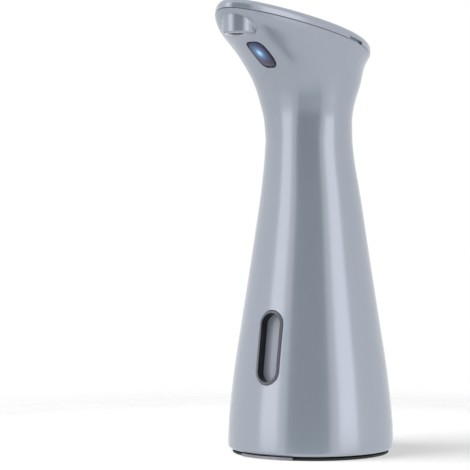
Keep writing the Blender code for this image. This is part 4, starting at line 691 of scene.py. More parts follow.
@dataclass(frozen=True)
class HousingForm:
    """The housing's loft: round sections up to the waist, then egg-shaped ones that fan over.

    The shares tables give, for a place up the skirt or up the head, the share of the way from
    the near size to the far one.
    """

    base_radius: float = 0.0356
    base_edge: float = 0.0017
    base_round: float = 0.0016
    waist_radius: float = 0.01873
    waist_height: float = 0.134
    seam_height: float = 0.1727
    seam_tilt: float = math.radians(11.2)
    tilt_start: float = 0.124
    neck_lean: float = 0.00115
    lean_start: float = 0.106
    nose_reach: float = 0.0615
    head_rear: float = 0.02405
    head_half_width: float = 0.0265
    head_egg: float = 0.32
    wall: float = 0.0022
    skirt_shares: Pairs = ((0, 1), (0.06, 0.994), (0.23, 0.874), (0.42, 0.652), (0.605, 0.424),
                           (0.755, 0.247), (0.87, 0.112), (0.94, 0.04), (1, 0))
    front_shares: Pairs = ((0, 0), (0.2, 0.007), (0.4, 0.051), (0.52, 0.112), (0.6, 0.184), (0.66, 0.27),
                           (0.71, 0.366), (0.76, 0.481), (0.81, 0.606), (0.86, 0.733), (0.91, 0.852),
                           (0.96, 0.946), (1, 1))
    rear_shares: Pairs = ((0, 0), (0.25, 0.011), (0.5, 0.126), (0.7, 0.374), (0.85, 0.693),
                          (0.93, 0.856), (1, 1))
    width_shares: Pairs = ((0, 0), (0.2, 0.045), (0.4, 0.24), (0.55, 0.416), (0.7, 0.59),
                           (0.85, 0.717), (0.93, 0.838), (1, 1))
    egg_front_shares: Pairs = ((0, 0), (0.3, -0.132), (0.5, -0.12), (0.62, -0.041), (0.72, 0.236),
                               (0.82, 0.539), (0.91, 0.457), (1, 1))
    egg_rear_shares: Pairs = ((0, 0), (0.35, -0.245), (0.7, 0.408), (1, 1))

    def head(self) -> Placement:
        """Give the frame of the seam's plane."""
        return Placement((0.0, 0.0, self.seam_height), -self.seam_tilt)

    def skirt_radius(self, height: np.ndarray) -> np.ndarray:
        """Give the outer radius between the floor and the waist."""
        share = smooth_curve(self.skirt_shares, height / self.waist_height)
        return self.waist_radius + share * (self.base_radius - self.waist_radius)

    def rings(self, height: np.ndarray, inset: np.ndarray, count: int) -> np.ndarray:
        """Give the skin's rings.

        A ring's reach toward the nose is half the difference of its front and rear reach plus
        half their sum times the cosine of the turn. Its side is the half width times the sine,
        narrowed toward the nose by the egg share, which goes from its rear to its front value
        with the square of one plus the cosine, halved. The ring leans by the section's slope,
        which eases in from the tilt's start up to the seam. The neck shifts toward the nose by
        its own lean, which eases in from the lean's start up to the waist.

        Args:
            height: Height of each ring on the axis.
            inset: How far each ring is drawn in.
            count: Points in a ring.

        Returns:
            Rings by points by three coordinates.
        """
        turn = turns(count)
        share = (height - self.waist_height) / (self.seam_height - self.waist_height)
        radius = self.skirt_radius(height)
        low = height <= self.waist_height
        eased = np.clip((height - self.lean_start) / (self.waist_height - self.lean_start), 0, 1)
        shift = self.neck_lean * eased * eased * (3 - 2 * eased)

        def grown(shares: Pairs, far: float, sign: float) -> np.ndarray:
            """Give one size of the head, or the skirt's below the waist, with the neck's lean."""
            near = self.waist_radius + sign * self.neck_lean
            rise = near + smooth_curve(shares, share) * (far - near)
            return np.where(low, radius + sign * shift, rise)[:, None]

        front = grown(self.front_shares, self.nose_reach, 1.0)
        rear = grown(self.rear_shares, self.head_rear, -1.0)
        width = grown(self.width_shares, self.head_half_width, 0.0)
        egg_front, egg_rear = (np.where(low, 0.0, self.head_egg * smooth_curve(shares, share))[:, None]
                               for shares in (self.egg_front_shares, self.egg_rear_shares))
        egg = egg_rear + (egg_front - egg_rear) * ((1 + np.cos(turn)) / 2) ** 2
        lean = np.clip((height - self.tilt_start) / (self.seam_height - self.tilt_start), 0, 1)
        slope = np.tan(self.seam_tilt * lean * lean * (3 - 2 * lean))[:, None]
        reach = (front - rear) / 2 + ((front + rear) / 2 - inset[:, None]) * np.cos(turn)
        side = (width - inset[:, None]) * np.sin(turn) * (1 - egg * np.cos(turn))
        return np.stack((side, -reach, height[:, None] + reach * slope), axis=-1)

    def seam_ring(self, count: int) -> np.ndarray:
        """Give the skin's ring at the seam."""
        return self.rings(np.array([self.seam_height]), np.zeros(1), count)[0]

    def seam_outline(self, inset: float, count: int) -> np.ndarray:
        """Give the outline in the seam's plane, moved in along its own normals by an inset."""
        ring = self.seam_ring(count)
        points = np.column_stack((ring[:, 0], ring[:, 1] / math.cos(self.seam_tilt)))
        run = np.roll(points, -1, axis=0) - np.roll(points, 1, axis=0)
        normal = np.column_stack((-run[:, 1], run[:, 0])) / np.linalg.norm(run, axis=1)[:, None]
        return points + inset * normal


FORM = HousingForm()
HEAD = FORM.head()


@dataclass
class LevelWindow:
    """The level window: its hole, dark surround and grey pane, low on the nose side.

    Attributes:
        height: Height of its middle.
        length: Its length.
        width: Its width.
        rim: Width of the surround.
        rim_round: Rounding of the surround's inner edge.
        play: How much narrower the surround is than the hole.
        crest: How far the surround's inner edge stands above the window's plane.
        depth: How deep the pane lies.
        pane: The pane's thickness.
        pane_crown: Inset and rise of each ring over the pane's rounded edge and low crown.
        chamfer: Chamfer of the hole.
    """

    height: float = 0.0463
    length: float = 0.0314
    width: float = 0.0115
    rim: float = 0.0011
    rim_round: float = 0.0003
    play: float = 0.0003
    crest: float = 0.00015
    depth: float = 0.0040
    pane: float = 0.0014
    pane_crown: Pairs = ((0.0, -0.0003), (0.0001, -0.0001), (0.0004, 0.0), (0.0012, 0.00008),
                         (0.0026, 0.00013))
    chamfer: float = 0.0002

    def __post_init__(self) -> None:
        """Work out the window's frame from the skirt's lean at its height."""
        ends = FORM.skirt_radius(np.array([self.height - self.length / 2, self.height + self.length / 2]))
        radius = float(FORM.skirt_radius(np.array([self.height]))[0])
        lean = math.atan2(ends[0] - ends[1], self.length)
        self.place = Placement((0.0, -radius, self.height), math.pi / 2 - lean)

    def outline(self, inset: float) -> np.ndarray:
        """Give the window's slot, drawn in by an inset all round."""
        return slot_outline(self.width - 2 * inset, self.length - 2 * inset)

    def surface_depth(self, outline: np.ndarray) -> np.ndarray:
        """Give how deep the housing's skin lies below the window's plane at outline points.

        The skin there is a circle of the skirt's radius at the point's height, and the depth is
        refined a few times because the height depends a little on it.
        """
        depth = np.zeros(len(outline))
        for _ in range(4):
            point = self.place.place(at_height(outline, depth))
            radius = FORM.skirt_radius(point[:, 2])
            depth = depth - (np.hypot(point[:, 0], point[:, 1]) - radius)
        return depth

    def hole(self) -> bpy.types.Mesh:
        """The hole's cutter: a slot whose mouth widens in a small chamfer at the skin."""
        inner, outer, wide = (self.outline(-self.chamfer * step) for step in (0, 1, 2))
        rings = [at_height(inner, -FORM.wall - 2 * OVERRUN),
                 *(at_height(line, self.surface_depth(line) + self.chamfer * step)
                   for line, step in ((inner, -1), (outer, 0), (wide, 1))),
                 at_height(wide, OVERRUN)]
        return skin("window_hole", self.place.place(np.stack(rings)))

    def surround(self) -> bpy.types.Object:
        """The dark surround: a slot-shaped bead that starts at the skin and rises to its inner edge."""
        section = [*rounded_corner((self.rim - self.rim_round, self.crest),
                                   (self.rim, self.crest - self.rim_round), (self.rim, self.crest), 4),
                   (self.rim, -self.depth)]
        outer = self.outline(self.play / 2)
        rings = [at_height(outer, -self.depth), at_height(outer, self.surface_depth(outer)),
                 *(at_height(self.outline(self.play / 2 + inset), height) for inset, height in section)]
        return shaped("window_surround", self.place.place(np.stack(rings)), looped=True)

    def glazing(self) -> bpy.types.Object:
        """The pane: a slot-shaped plate with a low crown and a rounded edge."""
        top = -self.depth - GAP
        section = ((0.0, -self.pane), *self.pane_crown)
        rings = [at_height(self.outline(GAP + inset), top + height) for inset, height in section]
        return shaped("level_pane", self.place.place(np.stack(rings)))


@dataclass
class Sensor:
    """The sensor's oval lens under the nose, in its own tilted frame."""

    reach: float = 0.0364
    height: float = 0.1683
    slope: float = math.radians(33)
    half_length: float = 0.0084
    half_width: float = 0.0042
    power: float = 0.63
    thickness: float = 0.0014
    ledge: float = 0.0010
    crown: float = 0.0004
    rim: float = 0.0006
    edge: float = 0.0002
    groove: float = 0.00025
    points: int = 96

    def __post_init__(self) -> None:
        """Work out the lens's frame."""
        self.place = Placement((0.0, -self.reach, self.height), -self.slope)

    def oval(self, name: str, inset: float, heights: Sequence[float]) -> bpy.types.Mesh:
        """An oval prism of the lens's outline, drawn in by an inset, between two heights."""
        outline = self.ring(self.half_width - inset, 0.0)[:, :2]
        return skin(name, prism_rings(outline, heights, self.place))

    def seat(self) -> list[tuple[str, bpy.types.Mesh]]:
        """The cutters that open the housing for the lens: a seat and a narrower hole."""
        return [("DIFFERENCE", self.oval("lens_seat", -GAP / 2, (-OVERRUN, self.thickness + GAP))),
                ("DIFFERENCE", self.oval("lens_hole", self.ledge, (-OVERRUN, OVERRUN)))]

    def lens(self) -> bpy.types.Object:
        """The lens: a crowned oval, then a groove and a flat lip round it.

        A ring's drop below the seat falls with the square of its distance from the middle.
        """
        shares = np.linspace(0.06, 1.0, 14)
        inner, outer = self.half_width - self.rim, self.half_width
        section = [*((inner * share, -self.crown * (1 - share ** 2) - self.edge / 2) for share in shares),
                   (inner + self.edge / 2, self.groove), (outer - self.edge, 0.0), (outer, self.edge),
                   (outer, self.thickness)]
        rings = [self.ring(half_width, height) for half_width, height in section]
        return shaped("lens_cover", self.place.place(np.stack(rings)))

    def ring(self, half_width: float, height: float) -> np.ndarray:
        """One ring of the lens by its half width and height.

        The ring is an oval squared off by a power on the cosine and the sine of the turn.
        """
        turn = turns(self.points)
        x, y = (np.sign(wave) * np.abs(wave) ** self.power for wave in (np.cos(turn), np.sin(turn)))
        half_length = self.half_length - (self.half_width - half_width)
        half_length = np.maximum(half_length, half_width * self.half_length / self.half_width)
        return at_height(np.column_stack((half_width * x, half_length * y)), height)


@dataclass
class Spout:
    """The round boss under the nose and the nozzle's dark tip in it."""

    boss_radius: float = 0.0069
    boss_reach: float = 0.0522
    boss_bottom: float = 0.1751
    boss_round: float = 0.0009
    boss_blend: float = 0.0020
    blend_least: float = 0.0002
    blend_share: float = 0.6
    reach: float = 0.0538
    bore: float = 0.0033
    seat: float = 0.0010
    pocket_radius: float = 0.0052
    pocket_reach: float = 0.0528
    flange: float = 0.0011
    flange_radius: float = 0.0037
    mouth: float = 0.0021
    mouth_depth: float = 0.0032
    rise: float = 0.0030
    rise_radius: float = 0.0026
    nipple: float = 0.0022
    nipple_radius: float = 0.00105
    tube_radius: float = 0.0018
    lip: float = 0.00035

    def skin_above(self, radius: float, count: int) -> np.ndarray:
        """Give the height at which upright lines round the boss's axis meet the housing's skin.

        On each of many rings, the point with a line's own X is compared with the line's Y. The
        first ring that reaches as far forward as the line gives the height.

        Args:
            radius: Distance of the lines from the boss's axis.
            count: Number of lines.
        """
        levels, points, lowest = 240, 720, FORM.waist_height + 0.02
        turn = turns(count)
        across, ahead = radius * np.cos(turn), radius * np.sin(turn) - self.boss_reach
        nose_side = np.cos(turns(points)) > 0.1
        heights = np.linspace(lowest, FORM.seam_height, levels)
        rings = FORM.rings(heights, np.zeros(levels), points)[:, nose_side]
        near = np.abs(rings[:, :, None, 0] - across).argmin(axis=1)
        y, z = (np.take_along_axis(rings[:, :, axis], near, axis=1) for axis in (1, 2))
        first = np.minimum((y > ahead).sum(axis=0), levels - 1)
        found = np.take_along_axis(z, first[None], axis=0)[0]
        return (np.roll(found, 1) + 2 * found + np.roll(found, -1)) / 4

    def boss(self) -> bpy.types.Mesh:
        """The boss: a drum with a rounded lower edge, which flares into the skin above.

        The flare's radius grows by one minus the root of one minus the square of the share of
        its height, as in a quarter circle. Where the drum's side is low the flare is smaller,
        and its rings climb a little each so that none lies in another.
        """
        count = 120
        top = FORM.seam_height + FORM.nose_reach * math.tan(FORM.seam_tilt)
        low, radius = self.boss_bottom, self.boss_radius
        side = low + self.boss_round
        corner = rounded_corner((radius - self.boss_round, low), (radius, side), (radius, low))
        near, far = self.skin_above(radius, count), self.skin_above(radius + self.boss_blend, count)
        blend = np.clip(self.blend_share * (near - side), self.blend_least, self.boss_blend)
        met = near + (far - near) * blend / self.boss_blend
        flare = [(radius + blend * (1 - np.sqrt(1 - share ** 2)),
                  np.maximum(met - blend * (1 - share), side + 0.0001 * share))
                 for share in np.linspace(0.0, 1.0, 9)]
        x, y = np.cos(turns(count)), np.sin(turns(count))
        rings = [at_height(np.column_stack((size * x, size * y - self.boss_reach)), level)
                 for size, level in (*corner, *flare, (radius + blend, top))]
        return skin("spout_boss", np.stack(rings))

    def hollow(self) -> list[tuple[str, bpy.types.Mesh]]:
        """The cutters of the boss: the pocket for the nozzle and its mouth with a small flare."""
        turn = np.linspace(math.pi, 2 * math.pi, 40)
        radius, back = self.pocket_radius, self.boss_radius + FORM.wall - self.boss_reach
        arc = np.column_stack((radius * np.cos(turn), radius * np.sin(turn) - self.pocket_reach))
        outline = np.concatenate((arc, [[radius, back], [-radius, back]]))
        low, top, flare, past = self.boss_bottom, FORM.seam_height + 0.05, 0.0003, 0.001
        pocket = skin("nozzle_pocket", prism_rings(outline, (low + self.seat, top)))
        profile = [(self.bore + flare + past, low - past), (self.bore, low + flare),
                   (self.bore, low + self.seat + past)]
        mouth = skin("nozzle_bore", turned_rings(profile, 64, self.axis()))
        return [("DIFFERENCE", pocket), ("DIFFERENCE", mouth)]

    def axis(self) -> Placement:
        """Give the frame whose third axis is the nozzle's."""
        return Placement((0.0, -self.reach, 0.0))

    def tip(self) -> bpy.types.Object:
        """The nozzle's tip: a flanged collar with a rounded lip round its mouth, and a side nipple."""
        low, radius, lip = self.boss_bottom, self.bore - GAP, self.lip
        seat = low + self.seat + GAP
        outer = [(self.mouth, low + self.mouth_depth),
                 *rounded_corner((self.mouth, low + lip), (self.mouth + lip, low), (self.mouth, low), 4),
                 *rounded_corner((radius - lip, low), (radius, low + lip), (radius, low), 4),
                 (radius, seat), (self.flange_radius, seat), (self.flange_radius, seat + self.flange),
                 (self.rise_radius, seat + self.flange), (self.rise_radius, seat + self.flange + self.rise)]
        piece = shaped("nozzle_collar", turned_rings(outer, 64, self.axis()))
        height = low + self.seat + self.tube_radius + 2 * GAP
        route = np.linspace((0.0, -self.reach, height),
                            (0.0, self.flange_radius + self.nipple - self.reach, height), 4)
        carve(piece, [("UNION", skin("nozzle_nipple", tube_rings(route, self.nipple_radius, 24)))])
        return piece


@dataclass
class Housing:
    """The goose-neck housing: the loft with its wall, boss and openings."""

    columns: int = 176
    foot_rings: int = 7
    skirt_rings: int = 46
    head_rings: int = 54
    deck_recess: float = 0.0005
    deck_thickness: float = 0.0010
    head_flare: float = 0.0017

    def heights(self) -> tuple[np.ndarray, np.ndarray]:
        """Give each ring's height and inset: the rounded foot edge, the skirt and the head."""
        turn = np.linspace(0, math.pi / 2, self.foot_rings)
        foot = FORM.base_edge + FORM.base_round * (1 - np.cos(turn))
        inset = FORM.base_round * (1 - np.sin(turn))
        skirt = np.linspace(foot[-1], FORM.waist_height, self.skirt_rings)[1:]
        shares = np.linspace(0, 1, self.head_rings)[1:]
        head = FORM.waist_height + shares * (FORM.seam_height - FORM.waist_height)
        height = np.concatenate((foot, skirt, head))
        return height, np.concatenate((inset, np.zeros(len(height) - len(inset))))

    def build(self, window: LevelWindow, sensor: Sensor, spout: Spout) -> bpy.types.Object:
        """Build the housing with the openings for the pieces it carries."""
        height, inset = self.heights()
        piece = shaped("housing_skin", FORM.rings(height, inset, self.columns), poles=False)
        walls = piece.modifiers.new("wall", "SOLIDIFY")
        walls.thickness = FORM.wall
        walls.offset = -1
        walls.use_even_offset = True
        settle(piece)
        reach = FORM.nose_reach + OVERRUN
        square = np.array([[-reach, -2 * reach], [reach, -2 * reach], [reach, reach], [-reach, reach]])
        seam_cut = skin("seam_cut", prism_rings(square, (0.0, reach), HEAD))
        room = FORM.seam_outline(FORM.wall + self.head_flare - GAP, 96)
        deck_low = -self.deck_recess - self.deck_thickness - GAP
        deck_room = skin("deck_room", prism_rings(room, (deck_low, OVERRUN), HEAD))
        carve(piece, [("UNION", spout.boss()), *spout.hollow(), ("DIFFERENCE", seam_cut),
                      ("DIFFERENCE", deck_room), ("DIFFERENCE", window.hole()), *sensor.seat()])
        return piece


@dataclass
class Lid:
    """The lift-off lid: a low dome with a rounded edge, hollow below, and the button in it."""

    edge: float = 0.0047
    corner: float = 0.0028
    dome: float = 0.0009
    wall: float = 0.0026
    rim: float = 0.0022
    notch_reach: float = 0.0068
    notch_length: float = 0.0098
    notch_height: float = 0.0012
    notch_depth: float = 0.0014
    button_reach: float = 0.0497
    button_radius: float = 0.0050
    button_dome: float = 0.0008
    button_flange: float = 0.0008
    flange_thickness: float = 0.0006
    boss_radius: float = 0.0050
    boss_y: float = -0.0025
    boss_bottom: float = 0.0012
    lip: float = 0.00018
    button_flare: float = 0.0004
    button_edge: float = 0.0005
    columns: int = 176

    def ring(self, height: float, inset: float, share: float = 1.0) -> np.ndarray:
        """One ring of the lid in the seam's plane, drawn in, or scaled about its middle."""
        middle = (FORM.head_rear - FORM.nose_reach) / 2 / math.cos(FORM.seam_tilt)
        outline = FORM.seam_outline(inset, self.columns)
        return at_height(np.column_stack((outline[:, 0] * share, middle + (outline[:, 1] - middle) * share)),
                         height)

    def build(self) -> bpy.types.Object:
        """Build the lid: up its hollow's ceiling, down the inner wall, up the outer one and over.

        The outer edge is a quarter round; the dome rises with one minus the share squared.
        """
        ceiling, lip = self.edge - self.wall, self.lip
        rings = [self.ring(ceiling, self.rim + ceiling / 2, share) for share in (0.15, 0.6, 1.0)]
        rings += [self.ring(GAP, self.rim), self.ring(GAP, lip), self.ring(GAP + lip, 0.0)]
        shoulder = self.edge - self.corner
        for turn in np.linspace(0, math.pi / 2, 11):
            rings.append(self.ring(shoulder + self.corner * math.sin(turn),
                                   self.corner * (1 - math.cos(turn))))
        for share in np.concatenate((np.linspace(0.97, 0.1, 14), [0.03])):
            rings.append(self.ring(self.edge + self.dome * (1 - share * share), self.corner, share))
        piece = shaped("lid_skin", HEAD.place(np.stack(rings)))
        carve(piece, [("UNION", self.plug_boss()), ("DIFFERENCE", self.button_hole()), *self.notches()])
        return piece

    def plug_boss(self) -> bpy.types.Mesh:
        """The round boss under the lid that holds the filler plug."""
        profile = [(self.boss_radius, self.boss_bottom), (self.boss_radius, self.edge)]
        return skin("plug_boss", turned_rings(profile, 48, self.along(self.boss_y)))

    @staticmethod
    def along(y: float) -> Placement:
        """Give the seam's frame, moved along its own plane."""
        return Placement(tuple(HEAD.place(np.array([0.0, y, 0.0]))), HEAD.tilt)

    def button_place(self) -> Placement:
        """Give the button's frame."""
        return self.along(-self.button_reach / math.cos(FORM.seam_tilt))

    def button_hole(self) -> bpy.types.Mesh:
        """The button's hole, with a small flare at the lid's top."""
        radius, top, past = self.button_radius + GAP, self.edge + self.dome, 0.001
        flare = self.button_flare
        profile = [(radius, 0.0), (radius, top - 2 * flare), (radius + flare, top - flare),
                   (radius + 2 * flare, top + past)]
        return skin("button_hole", turned_rings(profile, 72, self.button_place()))

    def notches(self) -> list[tuple[str, bpy.types.Mesh]]:
        """The two finger notches in the lid's lower edge, one on each side."""
        half = np.split(FORM.seam_ring(720), 2)[0]
        side = float(half[np.argmin(np.abs(half[:, 1] + self.notch_reach)), 0])
        y, reach = -self.notch_reach / math.cos(FORM.seam_tilt), self.notch_length / 2
        heights = (-0.001, GAP + self.notch_height)
        made = []
        for name, sign in (("left", -1), ("right", 1)):
            low, high = sorted((sign * (side - self.notch_depth), sign * (side + OVERRUN)))
            box = np.array([[low, y - reach], [high, y - reach], [high, y + reach], [low, y + reach]])
            made.append(("DIFFERENCE", skin(f"{name}_notch", prism_rings(box, heights, HEAD))))
        return made

    def button(self) -> bpy.types.Object:
        """The power button: a flanged drum with a rounded edge and a low dome."""
        ceiling, rim = self.edge - self.wall - GAP, self.edge + self.dome / 2
        radius, flat = self.button_radius, self.button_radius - self.button_edge
        flange = radius + self.button_flange
        profile = [(flange, ceiling - self.flange_thickness), (flange, ceiling), (radius, ceiling),
                   *rounded_corner((radius, rim - self.button_edge), (flat, rim), (radius, rim)),
                   *((flat - flat * share, rim + self.button_dome * (1 - (1 - share) ** 2))
                     for share in (0.15, 0.35, 0.6, 0.85))]
        return shaped("button_cap", turned_rings(profile, 72, self.button_place()))


@dataclass
class Foot:
    """The rubber foot under the base cap."""

    radius: float = 0.0336
    thickness: float = 0.0010
    corner: float = 0.0003
    chamfer: float = 0.0001
    hub: float = 0.002
    margin: float = 0.001
    grooves: tuple[float, ...] = (0.010, 0.020)
    groove: Pairs = ((0.0, 0.0), (0.0004, 0.0003), (0.0012, 0.0003), (0.0016, 0.0))

    def build(self) -> bpy.types.Object:
        """Build the foot: a disc with rounded edges and a shallow ring tread below."""
        radius, inner = self.radius, self.radius - self.corner
        tread = [(start + across, rise) for start in self.grooves for across, rise in self.groove]
        profile = [(self.hub, 0.0), *tread, (inner - self.margin, 0.0),
                   *rounded_corner((inner, 0.0), (radius, self.corner), (radius, 0.0), 4),
                   (radius, self.thickness - self.chamfer), (radius - self.chamfer, self.thickness)]
        return shaped("foot_ring", turned_rings(profile, 144))


# ---------------------------------------------------------------- the finishes of this object


HOUSING_FINISH = Plastic("silver_grey_paint", (0.39, 0.43, 0.495), gloss=0.19, gloss_spread=0.03,
                         tone_spread=0.03, grain=0.00022, depth=0.0000012, rub=0.0, dust=0.02, metal=0.5,
                         shine=0.25)
PANE_FINISH = Plastic("frosted_pane", (0.38, 0.42, 0.51), gloss=0.22, gloss_spread=0.1, coat=0.5, rub=0.0)
# The base cap wears the housing's paint made darker: painted shade for the shade under the housing's lower
# edge.
SHADED_CAP_FINISH = Plastic("cap_paint_with_painted_shade", (0.27, 0.275, 0.30), gloss=0.3, gloss_spread=0.03, tone_spread=0.03,
                     rub=0.0, dust=0.02, metal=0.5, shine=0.25)
DARK_FINISH = Plastic("dark_plastic", (0.028, 0.028, 0.032), gloss=0.42, tone_spread=0.2)
NYLON_FINISH = Plastic("white_nylon", (0.74, 0.73, 0.69), gloss=0.48, tone_spread=0.08, grain=0.0006)
RUBBER_FINISH = Plastic("black_rubber", (0.016, 0.016, 0.017), gloss=0.75, tone_spread=0.3, grain=0.0005,
                        depth=0.00002, rub=0.05)
SILICONE_FINISH = Plastic("milky_silicone", (0.72, 0.74, 0.75), gloss=0.5, clear=0.35, rub=0.05)
TANK_FINISH = Plastic("clear_tank", (0.80, 0.85, 0.88), gloss=0.14, clear=0.8, rub=0.0)
INNER_FINISH = Plastic("grey_inner_plastic", (0.28, 0.31, 0.35), gloss=0.42, tone_spread=0.06, rub=0.1)
LED_FINISH = Plastic("blue_light", (0.10, 0.35, 0.90), gloss=0.2, clear=0.3, rub=0.0)
SMOKED_FINISH = Plastic("smoked_diode", (0.012, 0.010, 0.020), gloss=0.12, rub=0.0)
STEEL_FINISH = Metal("bright_steel", (0.56, 0.56, 0.57))
BRASS_FINISH = Metal("pale_brass", (0.72, 0.53, 0.24), gloss=0.28)
BOARD_FINISH = Bands("green_board", 2, 0.0, 1.0, ((0.0, (0.02, 0.13, 0.06)), (0.5, (0.02, 0.13, 0.06))),
                     traces=0.5)
CELL_FINISH = Bands("cell_jacket", 0, -0.0235, 0.047,
                    ((0.0, (0.60, 0.58, 0.55)), (0.04, (0.05, 0.06, 0.08)), (0.30, (0.62, 0.44, 0.18)),
                     (0.70, (0.05, 0.06, 0.08)), (0.96, (0.60, 0.58, 0.55))), gloss=0.28)


def numbered(name: str, count: int) -> tuple[str, ...]:
    """Give the names of numbered nodes, from 1."""
    return tuple(f"{name}_{i}" for i in range(1, count + 1))


class Mechanism:
    """The CAD nodes that keep their solids: each finish with the nodes that wear it."""

    worn_by: tuple[tuple[Any, tuple[str, ...]], ...] = (
        (INNER_FINISH, ("head_deck",)),
        (SHADED_CAP_FINISH, ("base_cap",)),
        (DARK_FINISH, ("battery_holder", "motor_mount", "motor_end_cap", "sensor_loom", "tact_switch")),
        (NYLON_FINISH, ("pump_housing", "pump_cover", "reduction_wheel", "inlet_strainer")),
        (RUBBER_FINISH, ("cell_foam", "fill_plug", "outlet_grommet", "tank_neck_seal")),
        (SILICONE_FINISH, ("delivery_tube", "duckbill_valve")),
        (TANK_FINISH, ("soap_tank",)),
        (LED_FINISH, ("status_led",)),
        (SMOKED_FINISH, ("ir_emitter", "ir_receiver")),
        (STEEL_FINISH, (*numbered("contact_plate", 2), *numbered("contact_spring", 4),
                        *numbered("deck_screw", 4), *numbered("pump_screw", 2), "drive_shaft", "idler_pin",
                        "motor_can", "motor_shaft", "pump_drive_gear", "pump_idler_gear")),
        (BRASS_FINISH, ("motor_pinion",)),
        (BOARD_FINISH, ("control_board", "sensor_board", "switch_board")),
        (CELL_FINISH, numbered("battery", 4)),
    )

    def finish(self, made: dict[str, bpy.types.Material]) -> None:
        """Give every kept node its material.

        Args:
            made: Materials that are already built, by name; new ones are added.
        """
        for look, names in self.worn_by:
            material = made.get(look.name) or look.build()
            made[look.name] = material
            for name in names:
                dress(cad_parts[name], material)
            LOG.info("finish %s on %d nodes", look.name, len(names))


# ---------------------------------------------------------------- the studio


@dataclass(frozen=True)
class View:
    """The photograph's camera: it stands level, to one side of the nose."""

    azimuth: float = 33.85
    aim: float = 36.362
    distance: float = 0.7442
    height: float = 0.0933
    focal: float = 131.8

    def build(self) -> None:
        """Build the camera and make it the scene's."""
        camera = show("photo_camera", bpy.data.cameras.new("photo_camera"))
        turn = math.radians(self.azimuth)
        camera.location = (self.distance * math.sin(turn), -self.distance * math.cos(turn), self.height)
        camera.rotation_euler = (math.pi / 2, 0.0, math.radians(self.aim))
        camera.data.lens = self.focal
        camera.data.clip_start = 0.02
        bpy.context.scene.camera = camera


@dataclass(frozen=True)
class Lamp:
    """One large soft light that is aimed at the object's axis and doesn't show in gloss.

    Attributes:
        name: The light's name.
        bearing: Degrees from the camera's side, to the right as the camera sees it.
        radiance: Its brightness.
        width: Its width.
        height: Its height.
        lift: Degrees that it stands above the horizon.
        distance: How far it stands from the object.
    """

    name: str
    bearing: float
    radiance: float
    width: float
    height: float
    lift: float
    distance: float = 1.2

    def build(self, azimuth: float) -> None:
        """Build the light; its power is pi times its radiance and its area."""
        light = bpy.data.lights.new(self.name, "AREA")
        light.shape = "RECTANGLE"
        light.size, light.size_y = self.width, self.height
        light.energy = math.pi * self.radiance * self.width * self.height
        turn, lift = math.radians(azimuth + self.bearing), math.radians(self.lift)
        away = Vector((math.sin(turn) * math.cos(lift), -math.cos(turn) * math.cos(lift), math.sin(lift)))
        lamp = show(self.name, light)
        lamp.location = away * self.distance + Vector((0.0, 0.0, FORM.seam_height / 2))
        lamp.rotation_euler = away.to_track_quat("Z", "Y").to_euler()
        lamp.visible_camera = False
        lamp.visible_glossy = False


@dataclass(frozen=True)
class Board:
    """A bent board round the object that shows in gloss alone.

    Attributes:
        name: The board's name.
        left: Degrees from the camera's side to its left end.
        right: Degrees from the camera's side to its right end.
        strength: Brightness that its colours are multiplied by.
        stops: Share of the way up from its lower edge to its full height, and colour there.
        low: Height of its lower edge.
        full: Height from which the last colour holds.
        high: Height of its upper edge.
        distance: How far it stands from the axis.
        thickness: Its thickness.
    """

    name: str
    left: float
    right: float
    strength: float
    stops: tuple[tuple[float, Colour], ...]
    low: float = -1.3
    full: float = 0.0
    high: float = 1.3
    distance: float = 1.3
    thickness: float = 0.004

    def build(self, azimuth: float) -> None:
        """Build the board as an arc-shaped slab with its own glow."""
        turn = np.radians(azimuth + np.linspace(self.left, self.right, 40))
        arc = np.column_stack([np.sin(turn), -np.cos(turn)])
        outline = np.vstack([arc * self.distance, arc[::-1] * (self.distance + self.thickness)])
        slab = shaped(self.name, prism_rings(outline, (self.low, self.high)))
        material, nodes, shader = new_material(self.name)
        height = nodes.add("SeparateXYZ", nodes.here()).outputs["Z"]
        glow = nodes.ramp(nodes.share(height, self.low, self.full), self.stops)
        nodes.feed(shader, Base_Color=(0.0, 0.0, 0.0), Specular_IOR_Level=0.0, Emission_Color=glow,
                   Emission_Strength=self.strength)
        dress(slab, material)
        slab.visible_camera = False
        slab.visible_diffuse = False
        slab.visible_transmission = False
        slab.visible_shadow = False


